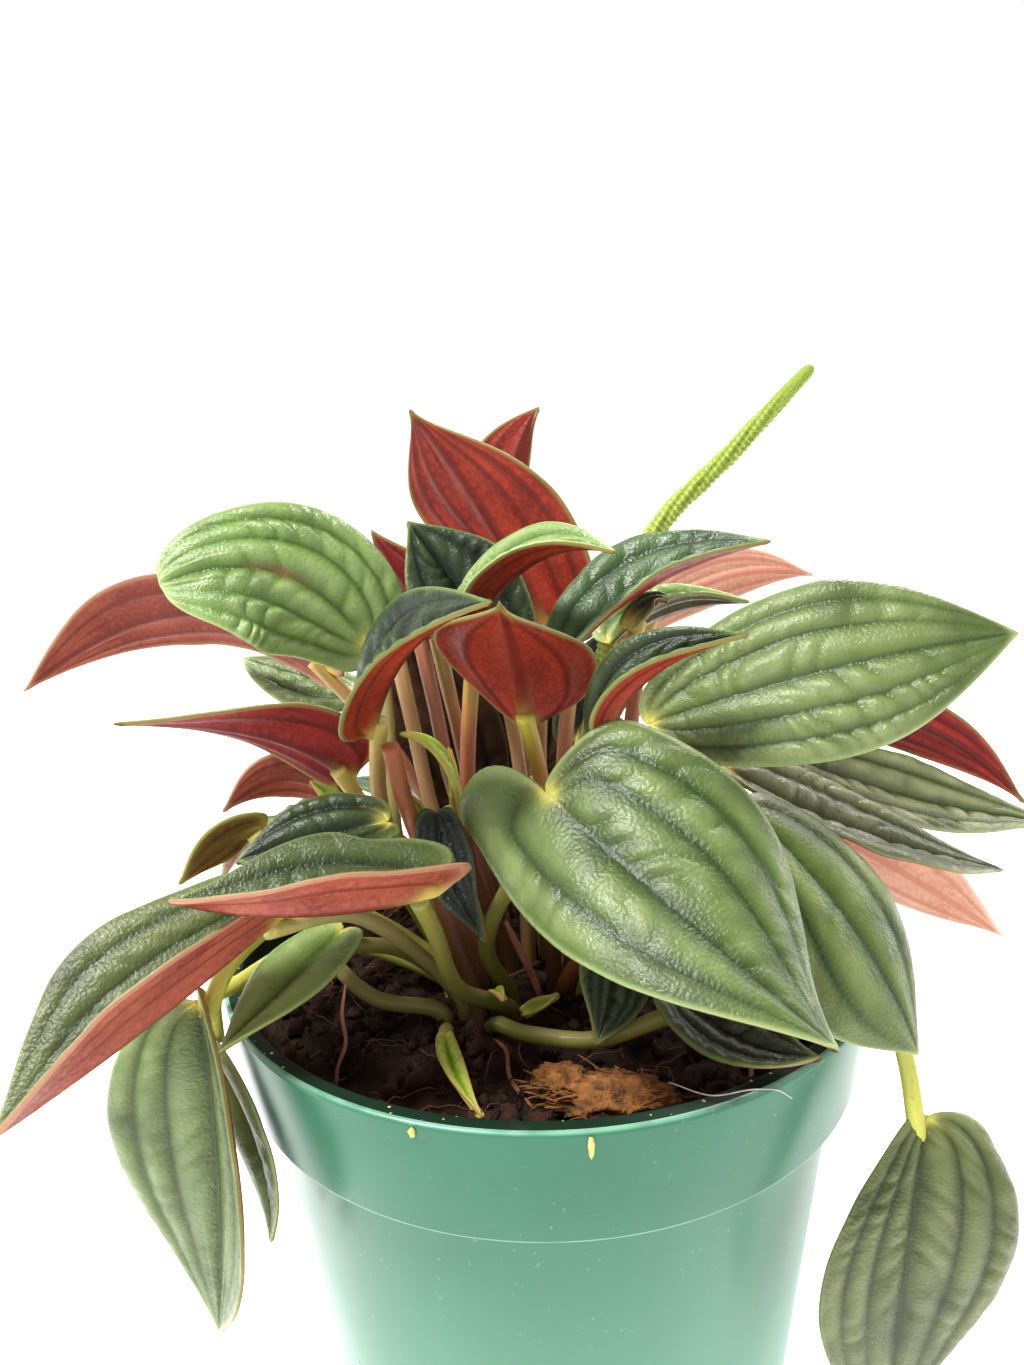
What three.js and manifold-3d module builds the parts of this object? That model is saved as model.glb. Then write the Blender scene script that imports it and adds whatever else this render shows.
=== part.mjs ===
// A red-backed ripple peperomia in a round plastic nursery pot, in millimetres, +Z up.
// The origin is the centre of the pot's base, on the surface that it stands on. -Y is the front.
// Each leaf is one solid: a ridged, folded blade grown together with its petiole, which stands in a
// plain hole in the soil.
import * as THREE from "three";
import { mergeVertices } from "three/addons/utils/BufferGeometryUtils.js";
import Module from "manifold-3d";

const wasm = await Module();
wasm.setup();

const DEG = Math.PI / 180;
const WELD = 1e-4; // points closer than this are one
const OVERCUT = 3; // how far a hole's cutter stands out of what it cuts

// Pot
const POT_HEIGHT = 92;
const RIM_RADIUS = 52.5;
const BAND_HEIGHT = 17.5; // the rim band that steps out over the body
const BAND_FOOT_RADIUS = 49.7;
const BODY_TOP_RADIUS = 46.8;
const BASE_RADIUS = 37.6;
const POT_WALL = 1.5;
const LIP_WIDTH = 2.9; // flat top of the rim
const BASE_THICKNESS = 2;
const EDGE_EASE = 0.5; // small bevel on the rim's and the base's outer edge
const POT_SIDES = 44;
const DRAIN_HOLES = 6;
const DRAIN_RADIUS = 4;
const DRAIN_CIRCLE = 26;
const DRAIN_SIDES = 8;

// Soil
const SOIL_LEVEL = 84;
const SOIL_BUMP = 0.5;
const SOIL_GAP = 0.5; // between soil and pot
const BROAD_WAVE = [0.31, 0.27]; // the soil's unevenness along X and Y, in radians per millimetre
const FINE_WAVE = [0.53, -0.47];
const WAVE_START = 1.3;
const FINE_SHARE = 0.6; // height of the fine waves against the broad ones
const SOIL_RINGS = 4;
const SOIL_SIDES = 28;
const HOLE_DEPTH = 5.6;
const HOLE_RADIUS = 2.2;
const STEM_DEPTH = 5.2; // how far a petiole reaches into its hole
const STEM_FREE = 1.2; // a petiole stays upright this far above the soil

// Leaves
const BLADE_THICKNESS = 0.7;
const PETIOLE_RADIUS = 1.3;
const PETIOLE_SIDES = 5;
const PETIOLE_STEP = 7.3;
const RIDGE_HEIGHT = 0.7;
const ROW_POWER = 1.5; // rows lie closer together near the base, where the lobes are
const LOBE_AT = 0.07; // share of the length where the basal lobes reach furthest back
const MITRE_LIMIT = 0.55;

// A blade's shape where its entry in the table says nothing else
const LOBE = 0.1;
const WIDE = 0.38;
const FULL = 0.6;
const SHARP = 0.4;
const CURL = [-10, -10];
const NOTCH = [0.03, 1];
const TAPER = 0.12; // added to sharp in every blade

// Where a petiole enters its blade: how far past the blade's base, and how far under it. The second
// figure of each is added where petiole and blade are in line.
const JOIN_REACH = [0.8, 2];
const JOIN_DROP = [0.45, 0.85];

// Blade grids: rows along the midrib, ridges in each half. A ridge takes two columns.
const LARGE = { rows: 10, ridges: 3 };
const MEDIUM = { rows: 7, ridges: 2 };
const SMALL = { rows: 6, ridges: 1 };

// Flower spike
const SPIKE_RADIUS = 1.7;
const SPIKE_TIP_RADIUS = 0.8;
const SPIKE_BUMP = 0.3;
const SPIKE_SIDES = 6;
const SPIKE_RINGS = 24;
const SPIKE_BARE = 0.42; // share of the length that is bare stalk
const SPIKE_TAPER = 0.7; // power of the narrowing towards the tip

// Leaf table. base, mid and tip are points of the midrib, and face is the way that the upper side
// looks. Pairs hold the left and the right half, as seen from above with the tip pointing away:
// half is the greatest width of each, fold lifts it from flat at the midrib, and curl bends it on
// towards the margin. wide is where along the leaf it is widest, lobe how far the base reaches back,
// full and sharp how blunt the outline is at the base and how narrow at the tip, notch the share of
// the length over which the notch between the lobes opens, and its power. root is where the petiole
// stands in the soil, and stalk lists the points it passes.
const LEAVES = [
  // high left, broad and arched, facing the front
  { name: "leaf_01", grid: LARGE, base: [-27, 5, 141.5], mid: [-39.5, 1, 154], tip: [-56.5, -4, 153.5],
    half: [13.5, 13.5], face: [0, -8, 6], fold: [8, 12], curl: [-20, -25], lobe: 0.12, wide: [0.5, 0.42],
    sharp: -0.3, root: [-10, 1], stalk: [[-26, 10, 124.5], [-18, 4.5, 100.5]] },
  // behind it, showing its red back, out to the left edge
  { name: "leaf_02", grid: MEDIUM, base: [-36.5, 22, 134.5], mid: [-62.5, 26, 145], tip: [-90, 18, 133.5],
    half: [9.2, 8.8], face: [0, 8, 5], fold: [12, 12], sharp: 0.4, root: [-9, 10],
    stalk: [[-24.5, 20, 117.5]], wide: [0.58, 0.42] },
  // between the two, mostly hidden
  { name: "leaf_03", grid: SMALL, base: [-33.5, 32, 128], mid: [-44.5, 34, 131], tip: [-55.5, 36, 134.5],
    half: [8, 6], face: [0, -3, 8], fold: [5, 5], curl: [-40, -20], sharp: -0.1, root: [-8, 15],
    stalk: [[-21.5, 24, 112]] },
  // dark channelled leaf that rises over the middle
  { name: "leaf_04", grid: MEDIUM, base: [-25.5, -12, 131], mid: [-18, -22, 145], tip: [-6, -33, 153],
    half: [8.2, 8], face: [-8, -7, 6], fold: [20, 60], lobe: [0.06, 0.02], wide: [0.42, 0.3],
    root: [-14.3, -0.6], stalk: [[-25, -7, 118], [-19.5, -4, 98]] },
  // bright arching leaf, channelled, over the middle
  { name: "leaf_05", grid: MEDIUM, base: [-11.5, -2, 142], mid: [-1, -6, 154.5], tip: [11.5, -14, 158],
    half: [8.5, 6.5], face: [-3, -1, 8], fold: [38, 44], wide: 0.34, droop: 1.5, root: [-6, 3],
    stalk: [[-11.5, 0, 122.5], [-12, 2, 104.5]] },
  // upright, its red back to the front, in the middle
  { name: "leaf_06", grid: MEDIUM, base: [-2, -11, 131], mid: [-3, -17, 142], tip: [-5, -26, 152],
    half: [12.3, 13.5], face: [0, 5, 8], fold: [18, 18], curl: [15, 15], lobe: 0.04, wide: [0.26, 0.5],
    full: 0.9, root: [1, -4], stalk: [[0.5, -8, 118]], sharp: 0.8 },
  // tallest, upright, its red back to the front
  { name: "leaf_07", grid: LARGE, base: [4, 18, 138.5], mid: [-7.5, 24, 161], tip: [-19.5, 26, 179],
    half: [13, 12.6], face: [1, 8, 3], fold: [20, 20], wide: [0.34, 0.64], sharp: 0.7, root: [0, 7],
    stalk: [[0.5, 14, 118]] },
  // close behind the tallest
  { name: "leaf_08", grid: SMALL, base: [-5, 34, 151.5], mid: [-2, 38, 167.5], tip: [3.5, 40, 179],
    half: [3.5, 10.5], face: [2, 8, 3], fold: [25, 25], root: [-2, 14], stalk: [[-2.5, 26, 114.5]] },
  // dark channelled leaf that points up and right
  { name: "leaf_09", grid: MEDIUM, base: [4.5, -4, 140.5], mid: [19, 2, 149.9], tip: [37, 0, 156],
    half: [10, 9], face: [-2, -2, 8], fold: [36, 38], root: [4, 4], stalk: [[3.5, 2, 114.5]],
    wide: [0.45, 0.4], lobe: [0.06, 0.1] },
  // dark leaf between the middle ones
  { name: "leaf_10", grid: MEDIUM, base: [-4.5, 8, 138], mid: [-13, 12, 150.5], tip: [-20, 14, 160.5],
    half: [10, 10], face: [2, -8, 3], fold: [22, 22], root: [-3, 4], stalk: [[-3, 8, 116.5]] },
  // behind it, its red back to the front
  { name: "leaf_11", grid: SMALL, base: [-14, 12, 138.5], mid: [-20.5, 16, 148.5], tip: [-26.5, 18, 159],
    half: [7, 7], face: [2, 8, 3], fold: [15, 15], root: [-7, 6], stalk: [[-12, 12, 115.5]] },
  // pale red back at the right, far behind
  { name: "leaf_12", grid: MEDIUM, base: [20.5, 30, 139.5], mid: [38, 34, 146.5], tip: [54, 34, 146],
    half: [5.5, 6], face: [0, 9, 2], fold: [10, 10], root: [5, 12], stalk: [[10, 22, 115]] },
  // pale channelled leaf under it
  { name: "leaf_13", grid: MEDIUM, base: [13, 10, 139], mid: [24, 14.5, 143.5], tip: [37.5, 15, 144.5],
    half: [6.5, 8], face: [-1, -1, 8], fold: [38, 42], root: [2.5, 9.5], stalk: [[9, 10, 119]] },
  // small dark curled leaf
  { name: "leaf_14", grid: SMALL, base: [15, 2, 143], mid: [19, 3.5, 146.5], tip: [21.5, 2, 147],
    half: [3, 3], face: [0, -2, 8], fold: [20, 20], root: [6, 7.5], stalk: [[9, 5, 119]] },
  // large grey-green leaf out to the right edge
  { name: "leaf_15", grid: LARGE, base: [16.5, -10, 130], mid: [41, -18, 139], tip: [66.5, -20, 143.5],
    half: [14.5, 13], face: [0, -8, 6], fold: [8, 6], curl: [-18, -25], lobe: 0.07, wide: [0.47, 0.48],
    root: [7, 0], stalk: [[11, -4, 108]], sharp: 0.25 },
  // dark channelled leaf above the front leaf
  { name: "leaf_16", grid: MEDIUM, base: [8.5, -20, 131], mid: [15.5, -20, 140], tip: [28.5, -22, 145.5],
    half: [7, 5.5], face: [-3, 1, 8], fold: [42, 52], root: [4, -3], stalk: [[5.5, -10, 113.5]],
    faceTip: [0, -5, 7], lobe: [0.1, 0.04] },
  // large front leaf that hangs over the rim
  { name: "leaf_17", grid: LARGE, base: [0.5, -26, 125], mid: [16, -46, 115], tip: [30.5, -58, 105],
    half: [20, 14], face: [-1, -9, 3], fold: [4, 6], curl: [-20, -32], lobe: [0.1, 0.33],
    wide: [0.36, 0.22], full: 0.5, root: [-6, -9], stalk: [[-5, -22, 111], [-9.5, -14, 96.5]],
    faceTip: [7, -4, 10.5], notch: [0.045, 2] },
  // right of it, hanging over the rim
  { name: "leaf_18", grid: MEDIUM, base: [29.5, -17.5, 118.5], mid: [41.5, -28.5, 105],
    tip: [49.5, -34, 88], half: [13, 14], face: [4, -6, 7], fold: [5, 5], curl: [-25, -35], root: [6, -6],
    stalk: [[15, -8, 104]], wide: [0.42, 0.62] },
  // channelled leaf out to the right
  { name: "leaf_19", grid: MEDIUM, base: [29.5, -3, 120.5], mid: [49.5, -7, 110], tip: [73, -7, 103],
    half: [9, 9.6], face: [0, 0, 8], fold: [36, 10], root: [8, 3], stalk: [[16, 0, 109.5]],
    wide: [0.38, 0.6] },
  // behind it
  { name: "leaf_20", grid: MEDIUM, base: [40, 10, 119.5], mid: [65.5, 10.5, 109], tip: [89.5, 8.5, 104.5],
    half: [9, 10], face: [0, -3, 8], fold: [25, 15], root: [9, 6], stalk: [[18.5, 6, 112.5]] },
  // red back above it
  { name: "leaf_21", grid: MEDIUM, base: [47, 18, 125.5], mid: [70.5, 18, 119.5], tip: [86.5, 14, 106],
    half: [7, 5.2], face: [0, 9, 3], fold: [15, 15], root: [9, 9.5], stalk: [[21.5, 14, 117]] },
  // salmon back below it
  { name: "leaf_22", grid: MEDIUM, base: [42, 14, 108.5], mid: [64, 10, 95.5], tip: [80, 6, 85],
    half: [8, 8], face: [3, 9, 3], fold: [10, 10], root: [10, 0], stalk: [[21, 10, 102]] },
  // hangs outside the pot at the right
  { name: "leaf_23", grid: LARGE, base: [51, -33.5, 78.2], mid: [46.3, -40, 59.6], tip: [45.2, -38, 28.9],
    half: [15.5, 11.3], face: [0, -9, 1], fold: [10, 10], curl: [-25, -25], lobe: [0.13, 0.06],
    wide: [0.37, 0.6], root: [9, -3],
    stalk: [[48.6, -31.5, 86], [46.5, -29.5, 93.5], [42, -27.5, 96], [24, -12, 90]] },
  // large channelled leaf out to the left
  { name: "leaf_24", grid: LARGE, base: [-38, -26, 109.5], mid: [-52.5, -42, 102], tip: [-66.5, -54, 96],
    half: [13, 14.5], face: [0, 0, 8], fold: [58, 48], curl: [-10, -20], wide: [0.42, 0.42],
    root: [-13.5, -10.5], stalk: [[-29, -18, 105], [-19, -12, 94]], lobe: [0.1, 0.12] },
  // folded leaf across the front left
  { name: "leaf_25", grid: MEDIUM, base: [-16, -32, 114.5], mid: [-32.5, -38, 115],
    tip: [-47.5, -40, 118.5], half: [8.5, 11], face: [0, 0, 8], fold: [56, 44], lobe: 0.2, root: [-6, -13],
    stalk: [[-16, -28, 106.5], [-13.5, -22, 94.5]] },
  // dark leaf above it
  { name: "leaf_26", grid: MEDIUM, base: [-23, -16, 118.5], mid: [-34.5, -20, 117.5],
    tip: [-44.2, -22.2, 115.9], half: [7, 7.5], face: [0, -3, 8], fold: [20, 25], curl: [-20, -20],
    root: [-12, -5], stalk: [[-20.5, -12.5, 112.5], [-16, -8.5, 98]] },
  // red back at the left
  { name: "leaf_27", grid: MEDIUM, base: [-29.5, -6, 122.5], mid: [-42, -8, 130.5], tip: [-63.5, -10, 134],
    half: [9, 5], face: [0, 9, 2], faceTip: [0, 3, 8], fold: [10, 10], wide: 0.28, root: [-14, 3.5],
    stalk: [[-24.5, -2, 109.5]], lobe: 0.04 },
  // small red back under it
  { name: "leaf_28", grid: SMALL, base: [-33.5, 6, 115.5], mid: [-43, 4, 120], tip: [-52.5, 2, 115],
    half: [5, 5], face: [0, 9, 3], fold: [15, 15], root: [-13.5, 8], stalk: [[-24.5, 6, 103.5]] },
  // small olive back, on a petiole that bows over the soil
  { name: "leaf_29", grid: SMALL, base: [-43.5, -8, 116], mid: [-49, -12, 114.5], tip: [-55.5, -14, 109.5],
    half: [4, 5], face: [-2, 8, 5], fold: [15, 15], root: [-17, -12.5],
    stalk: [[-37.5, -8, 102.5], [-34.5, -8, 93], [-27.5, -12, 88]] },
  // very dark leaf that hangs among the stems
  { name: "leaf_30", grid: SMALL, base: [-15.8, -15.5, 119.5], mid: [-14, -20, 112], tip: [-9, -26, 103.5],
    half: [4.6, 4], face: [-1, -8, 2], fold: [20, 20], root: [-10.5, -8.5], stalk: [[-15.5, -12, 113]] },
  // small dark leaf under the front leaf
  { name: "leaf_31", grid: SMALL, base: [9.5, -22, 102], mid: [8.5, -27, 96], tip: [5.5, -32, 90.5],
    half: [5.5, 5.5], face: [1, -8, 3], fold: [15, 15], root: [2, -8], stalk: [[7.5, -16, 98]] },
  // small pale leaf over the left rim
  { name: "leaf_32", grid: SMALL, base: [-31.5, -12, 100], mid: [-38, -24, 97.5], tip: [-44, -39, 96.5],
    half: [6, 6], face: [0, -3, 8], fold: [15, 10], root: [-15, -7], stalk: [[-23, -10, 95]] },
  // hangs outside the pot at the left
  { name: "leaf_33", grid: LARGE, base: [-49, -30, 98.5], mid: [-47.5, -34, 76], tip: [-52.5, -28, 42.5],
    half: [10.5, 15.5], face: [0, -9, 1], fold: [40, 5], curl: [40, -20], wide: [0.6, 0.38],
    root: [-17, 1], stalk: [[-45.5, -24, 101.5], [-35, 1, 98]] },
  // narrow leaf beside it
  { name: "leaf_34", grid: SMALL, base: [-51.5, -23.5, 90], mid: [-43.5, -27.5, 74.5], tip: [-44, -26, 56],
    half: [5, 5], face: [-6, -7, 1], fold: [20, 20], root: [-16.5, -3],
    stalk: [[-49.5, -21, 94.5], [-46.5, -19.5, 95.5], [-37, -4, 94]] },
  // dark leaf low over the soil, under the front leaf
  { name: "leaf_35", grid: SMALL, base: [17, -28, 96], mid: [24.5, -38, 94], tip: [32.5, -45, 96],
    half: [6, 6], face: [0, -3, 8], fold: [20, 20], root: [-9, -17],
    stalk: [[5.5, -28, 89], [-4, -24, 88]] },
  // the far side of the plant
  { name: "leaf_36", grid: SMALL, base: [14, 32, 110], mid: [24, 50, 110], tip: [32, 66, 98],
    half: [10, 10], face: [2, 3, 8], fold: [15, 15], root: [4, 15], stalk: [[8, 22, 101]] },
  { name: "leaf_37", grid: SMALL, base: [-2, 34, 104], mid: [-4, 52, 103], tip: [-6, 68, 88],
    half: [10, 10], face: [0, 3, 8], fold: [12, 12], root: [-3, 19], stalk: [[-2, 26, 98]] },
  { name: "leaf_38", grid: SMALL, base: [-22, 30, 107], mid: [-34, 44, 106], tip: [-44, 58, 94],
    half: [10, 10], face: [-3, 3, 8], fold: [14, 14], root: [-12, 17], stalk: [[-16, 24, 98]] },
  { name: "leaf_39", grid: SMALL, base: [-34, 20, 105], mid: [-50, 27, 104], tip: [-64, 34, 90],
    half: [9, 9], face: [-3, 2, 8], fold: [14, 14], root: [-15, 12], stalk: [[-24, 16, 97]] },
  { name: "leaf_40", grid: SMALL, base: [34, 26, 108], mid: [50, 36, 105], tip: [62, 46, 92], half: [9, 9],
    face: [3, 2, 8], fold: [14, 14], root: [9, 13.5], stalk: [[22, 20, 100]] },
  // dark leaves between the stems, behind the middle of the plant
  { name: "leaf_41", grid: SMALL, base: [7.5, 28, 117], mid: [14, 35, 129], tip: [21, 42, 138],
    half: [7, 7], face: [0, -8, 4], fold: [15, 15], root: [2.5, 20.5], stalk: [[4.5, 26, 100]] },
  { name: "leaf_42", grid: SMALL, base: [-12, 21, 109], mid: [-17.5, 26, 124], tip: [-23, 30, 140],
    half: [10, 10.5], face: [0, -8, 4], fold: [15, 15], root: [-7.5, 20.5], stalk: [[-10.5, 21, 98]],
    sharp: -0.1 },
  { name: "leaf_43", grid: SMALL, base: [-1.5, 29, 111], mid: [-0.5, 34, 124], tip: [1.5, 38, 137],
    half: [8.5, 8], face: [0, -8, 4], fold: [15, 15], root: [-6.5, 24.5], stalk: [[-6.5, 26.5, 98]],
    sharp: 0 },
  // lime young growth
  { name: "young_leaf", grid: SMALL, base: [-13, -7, 114.5], mid: [-15, -9, 126], tip: [-21, -10, 130.5],
    half: [4.5, 2.2], face: [6, 0, 3], fold: [12, 30], root: [-9, -4], stalk: [[-12.5, -6, 104]],
    lime: true },
  { name: "leaf_bud", grid: SMALL, base: [-33, 0.5, 116], mid: [-35, 0, 118.5], tip: [-37, -0.5, 120.5],
    half: [2, 2], face: [2, -5, 5], fold: [25, 25], root: [-18, 5], stalk: [[-27, 1.5, 106]], lime: true },
  { name: "front_shoot", grid: SMALL, base: [-15.5, -27, 90], mid: [-14, -34, 89], tip: [-10, -42, 87.5],
    half: [2, 2], face: [0, 0, 1], fold: [35, 35], root: [-16, -18], stalk: [], lime: true },
];

const CUT_STALK = { root: [-11, -14], points: [[-17.4, -14, 110], [-20.5, -14.5, 121.5], [-22, -15, 130]] };
const SPIKE_ROOT = [1, 13];
const SPIKE_POINTS = [[8, 17, 115], [11.5, 20, 129], [22, 24.5, 155], [36, 24.5, 169], [49.5, 22, 183]];

function material(color, roughness) {
  return new THREE.MeshStandardMaterial({ color, roughness, metalness: 0 });
}

const potPlastic = material(0x5fa08a, 0.35);
const soilPeat = material(0x2e211a, 0.95);
const leafGreen = material(0x5f8a52, 0.4);
const limeGreen = material(0x9fc04a, 0.5);
const stalkOrange = material(0xb07840, 0.55);

const point = (p) => new THREE.Vector3(...p);
const pair = (value) => (Array.isArray(value) ? value : [value, value]);

function solidOf(geometry) {
  const bare = geometry.clone();
  bare.deleteAttribute("normal");
  bare.deleteAttribute("uv");
  const merged = mergeVertices(bare, WELD);
  const vertProperties = merged.getAttribute("position").array;
  const triVerts = new Uint32Array(merged.getIndex().array);
  return new wasm.Manifold(new wasm.Mesh({ numProp: 3, vertProperties, triVerts }));
}

function geometryOf(solid) {
  const mesh = solid.getMesh();
  const geometry = new THREE.BufferGeometry();
  geometry.setAttribute("position", new THREE.BufferAttribute(mesh.vertProperties, 3));
  geometry.setIndex(new THREE.BufferAttribute(mesh.triVerts, 1));
  geometry.computeVertexNormals();
  return geometry;
}

function regularShape(sides, radius) {
  const corners = [];
  for (let i = 0; i < sides; i += 1) {
    const angle = (i / sides) * 2 * Math.PI;
    corners.push(new THREE.Vector2(radius * Math.cos(angle), radius * Math.sin(angle)));
  }
  return new THREE.Shape(corners);
}

// A vertical prism, for a hole.
function uprightPrism(sides, radius, x, y, bottom, top) {
  const prism = new THREE.ExtrudeGeometry(regularShape(sides, radius), {
    depth: top - bottom,
    bevelEnabled: false,
  });
  return prism.translate(x, y, bottom);
}

function tube(points, radius, sides, step) {
  const path = new THREE.CatmullRomCurve3(points, false, "centripetal");
  return new THREE.ExtrudeGeometry(regularShape(sides, radius), {
    steps: Math.max(3, Math.round(path.getLength() / step)),
    bevelEnabled: false,
    extrudePath: path,
  });
}

// A lathe about +Z from a profile of [radius, height] points.
function lathe(profile, sides) {
  const outline = profile.map(([radius, height]) => new THREE.Vector2(radius, height));
  return new THREE.LatheGeometry(outline, sides).rotateX(Math.PI / 2);
}

// The midrib's curve, and the leaf's own directions along it.
class Midrib {
  constructor(leaf) {
    this.base = point(leaf.base);
    this.tip = point(leaf.tip);
    this.control = point(leaf.mid).multiplyScalar(2).addScaledVector(this.base, -0.5);
    this.control.addScaledVector(this.tip, -0.5);
    this.curve = new THREE.QuadraticBezierCurve3(this.base, this.control, this.tip);
    this.faceBase = point(leaf.face).normalize();
    this.faceTip = point(leaf.faceTip ?? leaf.face).normalize();
  }

  // Tangent with its length, so that it also carries the midrib on behind the base.
  velocity(along) {
    const first = this.control.clone().sub(this.base).multiplyScalar(2 * (1 - along));
    return first.addScaledVector(this.tip.clone().sub(this.control), 2 * along);
  }

  // along below 0 lies behind the base, where the lobes reach.
  frame(along) {
    const inside = Math.max(along, 0);
    const velocity = this.velocity(inside);
    const origin = this.curve.getPoint(inside).addScaledVector(velocity, along - inside);
    const tangent = velocity.clone().normalize();
    const up = this.faceBase.clone().lerp(this.faceTip, along);
    up.addScaledVector(tangent, -up.dot(tangent)).normalize();
    const side = tangent.clone().cross(up);
    return { origin, tangent, up, side };
  }
}

// A point of the blade's upper surface: u runs from base to tip, and v from the left margin at -1
// over the midrib at 0 to the right margin at 1.
function bladePoint(leaf, midrib, u, v) {
  const half = v < 0 ? 0 : 1;
  const out = Math.abs(v);
  const lobe = pair(leaf.lobe ?? LOBE)[half];
  const wide = pair(leaf.wide ?? WIDE)[half];
  const fold = leaf.fold[half] * DEG;
  const curl = (leaf.curl ?? CURL)[half] * DEG;
  const [opening, power] = leaf.notch ?? NOTCH;
  const blunt = (leaf.full ?? FULL) + ((leaf.sharp ?? SHARP) + TAPER) * u;
  const swell = Math.max(0, Math.sin(Math.PI * u ** (Math.log(0.5) / Math.log(wide))));
  const breadth = swell ** blunt * (1 - Math.exp(-((u / opening) ** power)));
  const reach = (u / LOBE_AT) * Math.exp(1 - u / LOBE_AT);
  const along = u - lobe * out ** 2 * reach;
  const { origin, up, side } = midrib.frame(along);
  const lateral = ((Math.sin(fold + curl * out) - Math.sin(fold)) / curl) * breadth;
  const lift = ((Math.cos(fold) - Math.cos(fold + curl * out)) / curl) * breadth;
  const ridge = RIDGE_HEIGHT * breadth * Math.abs(Math.sin(Math.PI * leaf.grid.ridges * out));
  const droop = (leaf.droop ?? 0) * along ** 4;
  origin.addScaledVector(side, Math.sign(v) * lateral * leaf.half[half]);
  return origin.addScaledVector(up, lift * leaf.half[half] + ridge - droop);
}

// The blade as a closed skin: an upper and a lower face on the same grid, joined round the margin.
function bladeGeometry(leaf, midrib) {
  const { rows, ridges } = leaf.grid;
  const columns = 4 * ridges;
  const upper = [bladePoint(leaf, midrib, 0, 0)];
  for (let row = 1; row < rows; row += 1) {
    const u = (row / rows) ** ROW_POWER;
    for (let column = 0; column <= columns; column += 1) {
      upper.push(bladePoint(leaf, midrib, u, (2 * column) / columns - 1));
    }
  }
  upper.push(bladePoint(leaf, midrib, 1, 0));
  const last = upper.length - 1;
  const at = (row, column) => {
    if (row === 0) return 0;
    return row === rows ? last : 1 + (row - 1) * (columns + 1) + column;
  };
  const faces = [];
  for (let row = 0; row < rows; row += 1) {
    for (let column = 0; column < columns; column += 1) {
      const corners = [at(row, column), at(row, column + 1), at(row + 1, column + 1), at(row + 1, column)];
      if (row < rows - 1) faces.push([corners[0], corners[2], corners[3]]);
      if (row > 0) faces.push([corners[0], corners[1], corners[2]]);
    }
  }
  const lower = thickened(upper, faces, BLADE_THICKNESS);
  const index = faces.flatMap(([a, b, c]) => [a, b, c, a + upper.length, c + upper.length, b + upper.length]);
  for (let row = 0; row < rows; row += 1) {
    index.push(...wall(at(row + 1, 0), at(row, 0), upper.length));
    index.push(...wall(at(row, columns), at(row + 1, columns), upper.length));
  }
  const geometry = new THREE.BufferGeometry().setFromPoints([...upper, ...lower]);
  return geometry.setIndex(index);
}

// Two triangles that join the upper edge a-b to the lower one.
function wall(a, b, offset) {
  return [b, a, a + offset, b, a + offset, b + offset];
}

// Each point moved down along its mitred normal, so that the sheet is as thick everywhere.
function thickened(points, faces, thickness) {
  const normals = points.map(() => []);
  faces.forEach((face) => {
    const [a, b, c] = face.map((i) => points[i]);
    const normal = b.clone().sub(a).cross(c.clone().sub(a)).normalize();
    face.forEach((i) => normals[i].push(normal));
  });
  return points.map((p, i) => {
    const mean = normals[i].reduce((sum, n) => sum.add(n), new THREE.Vector3()).normalize();
    const flatness = normals[i].reduce((sum, n) => sum + n.dot(mean), 0) / normals[i].length;
    return p.clone().addScaledVector(mean, -thickness / Math.max(flatness, MITRE_LIMIT));
  });
}

// The petiole's path: up from its hole, past its points and into the blade's base.
function petiolePath(leaf, midrib) {
  const [x, y] = leaf.root;
  const foot = new THREE.Vector3(x, y, SOIL_LEVEL - STEM_DEPTH);
  const free = new THREE.Vector3(x, y, SOIL_LEVEL + STEM_FREE);
  const stalk = [...leaf.stalk].reverse().map(point);
  const { origin, tangent, up } = midrib.frame(0);
  const before = stalk.length ? stalk[stalk.length - 1] : free;
  const arrival = origin.clone().sub(before).normalize();
  const level = Math.sqrt(1 - arrival.dot(up) ** 2); // 1 where petiole and blade are in line
  origin.addScaledVector(tangent, JOIN_REACH[0] + JOIN_REACH[1] * level);
  origin.addScaledVector(up, -JOIN_DROP[0] - JOIN_DROP[1] * level);
  return [foot, free, ...stalk, origin];
}

function leafMesh(leaf) {
  const midrib = new Midrib(leaf);
  const blade = solidOf(bladeGeometry(leaf, midrib));
  const petiole = solidOf(tube(petiolePath(leaf, midrib), PETIOLE_RADIUS, PETIOLE_SIDES, PETIOLE_STEP));
  const mesh = new THREE.Mesh(geometryOf(blade.add(petiole)), leaf.lime ? limeGreen : leafGreen);
  mesh.name = leaf.name;
  return mesh;
}

// A bare stub: a petiole that ends in the open.
function cutStalkMesh() {
  const [x, y] = CUT_STALK.root;
  const foot = new THREE.Vector3(x, y, SOIL_LEVEL - STEM_DEPTH);
  const free = new THREE.Vector3(x, y, SOIL_LEVEL + STEM_FREE);
  const path = [foot, free, ...CUT_STALK.points.map(point)];
  const mesh = new THREE.Mesh(tube(path, PETIOLE_RADIUS, PETIOLE_SIDES, PETIOLE_STEP), stalkOrange);
  mesh.name = "cut_stalk";
  return mesh;
}

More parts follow.
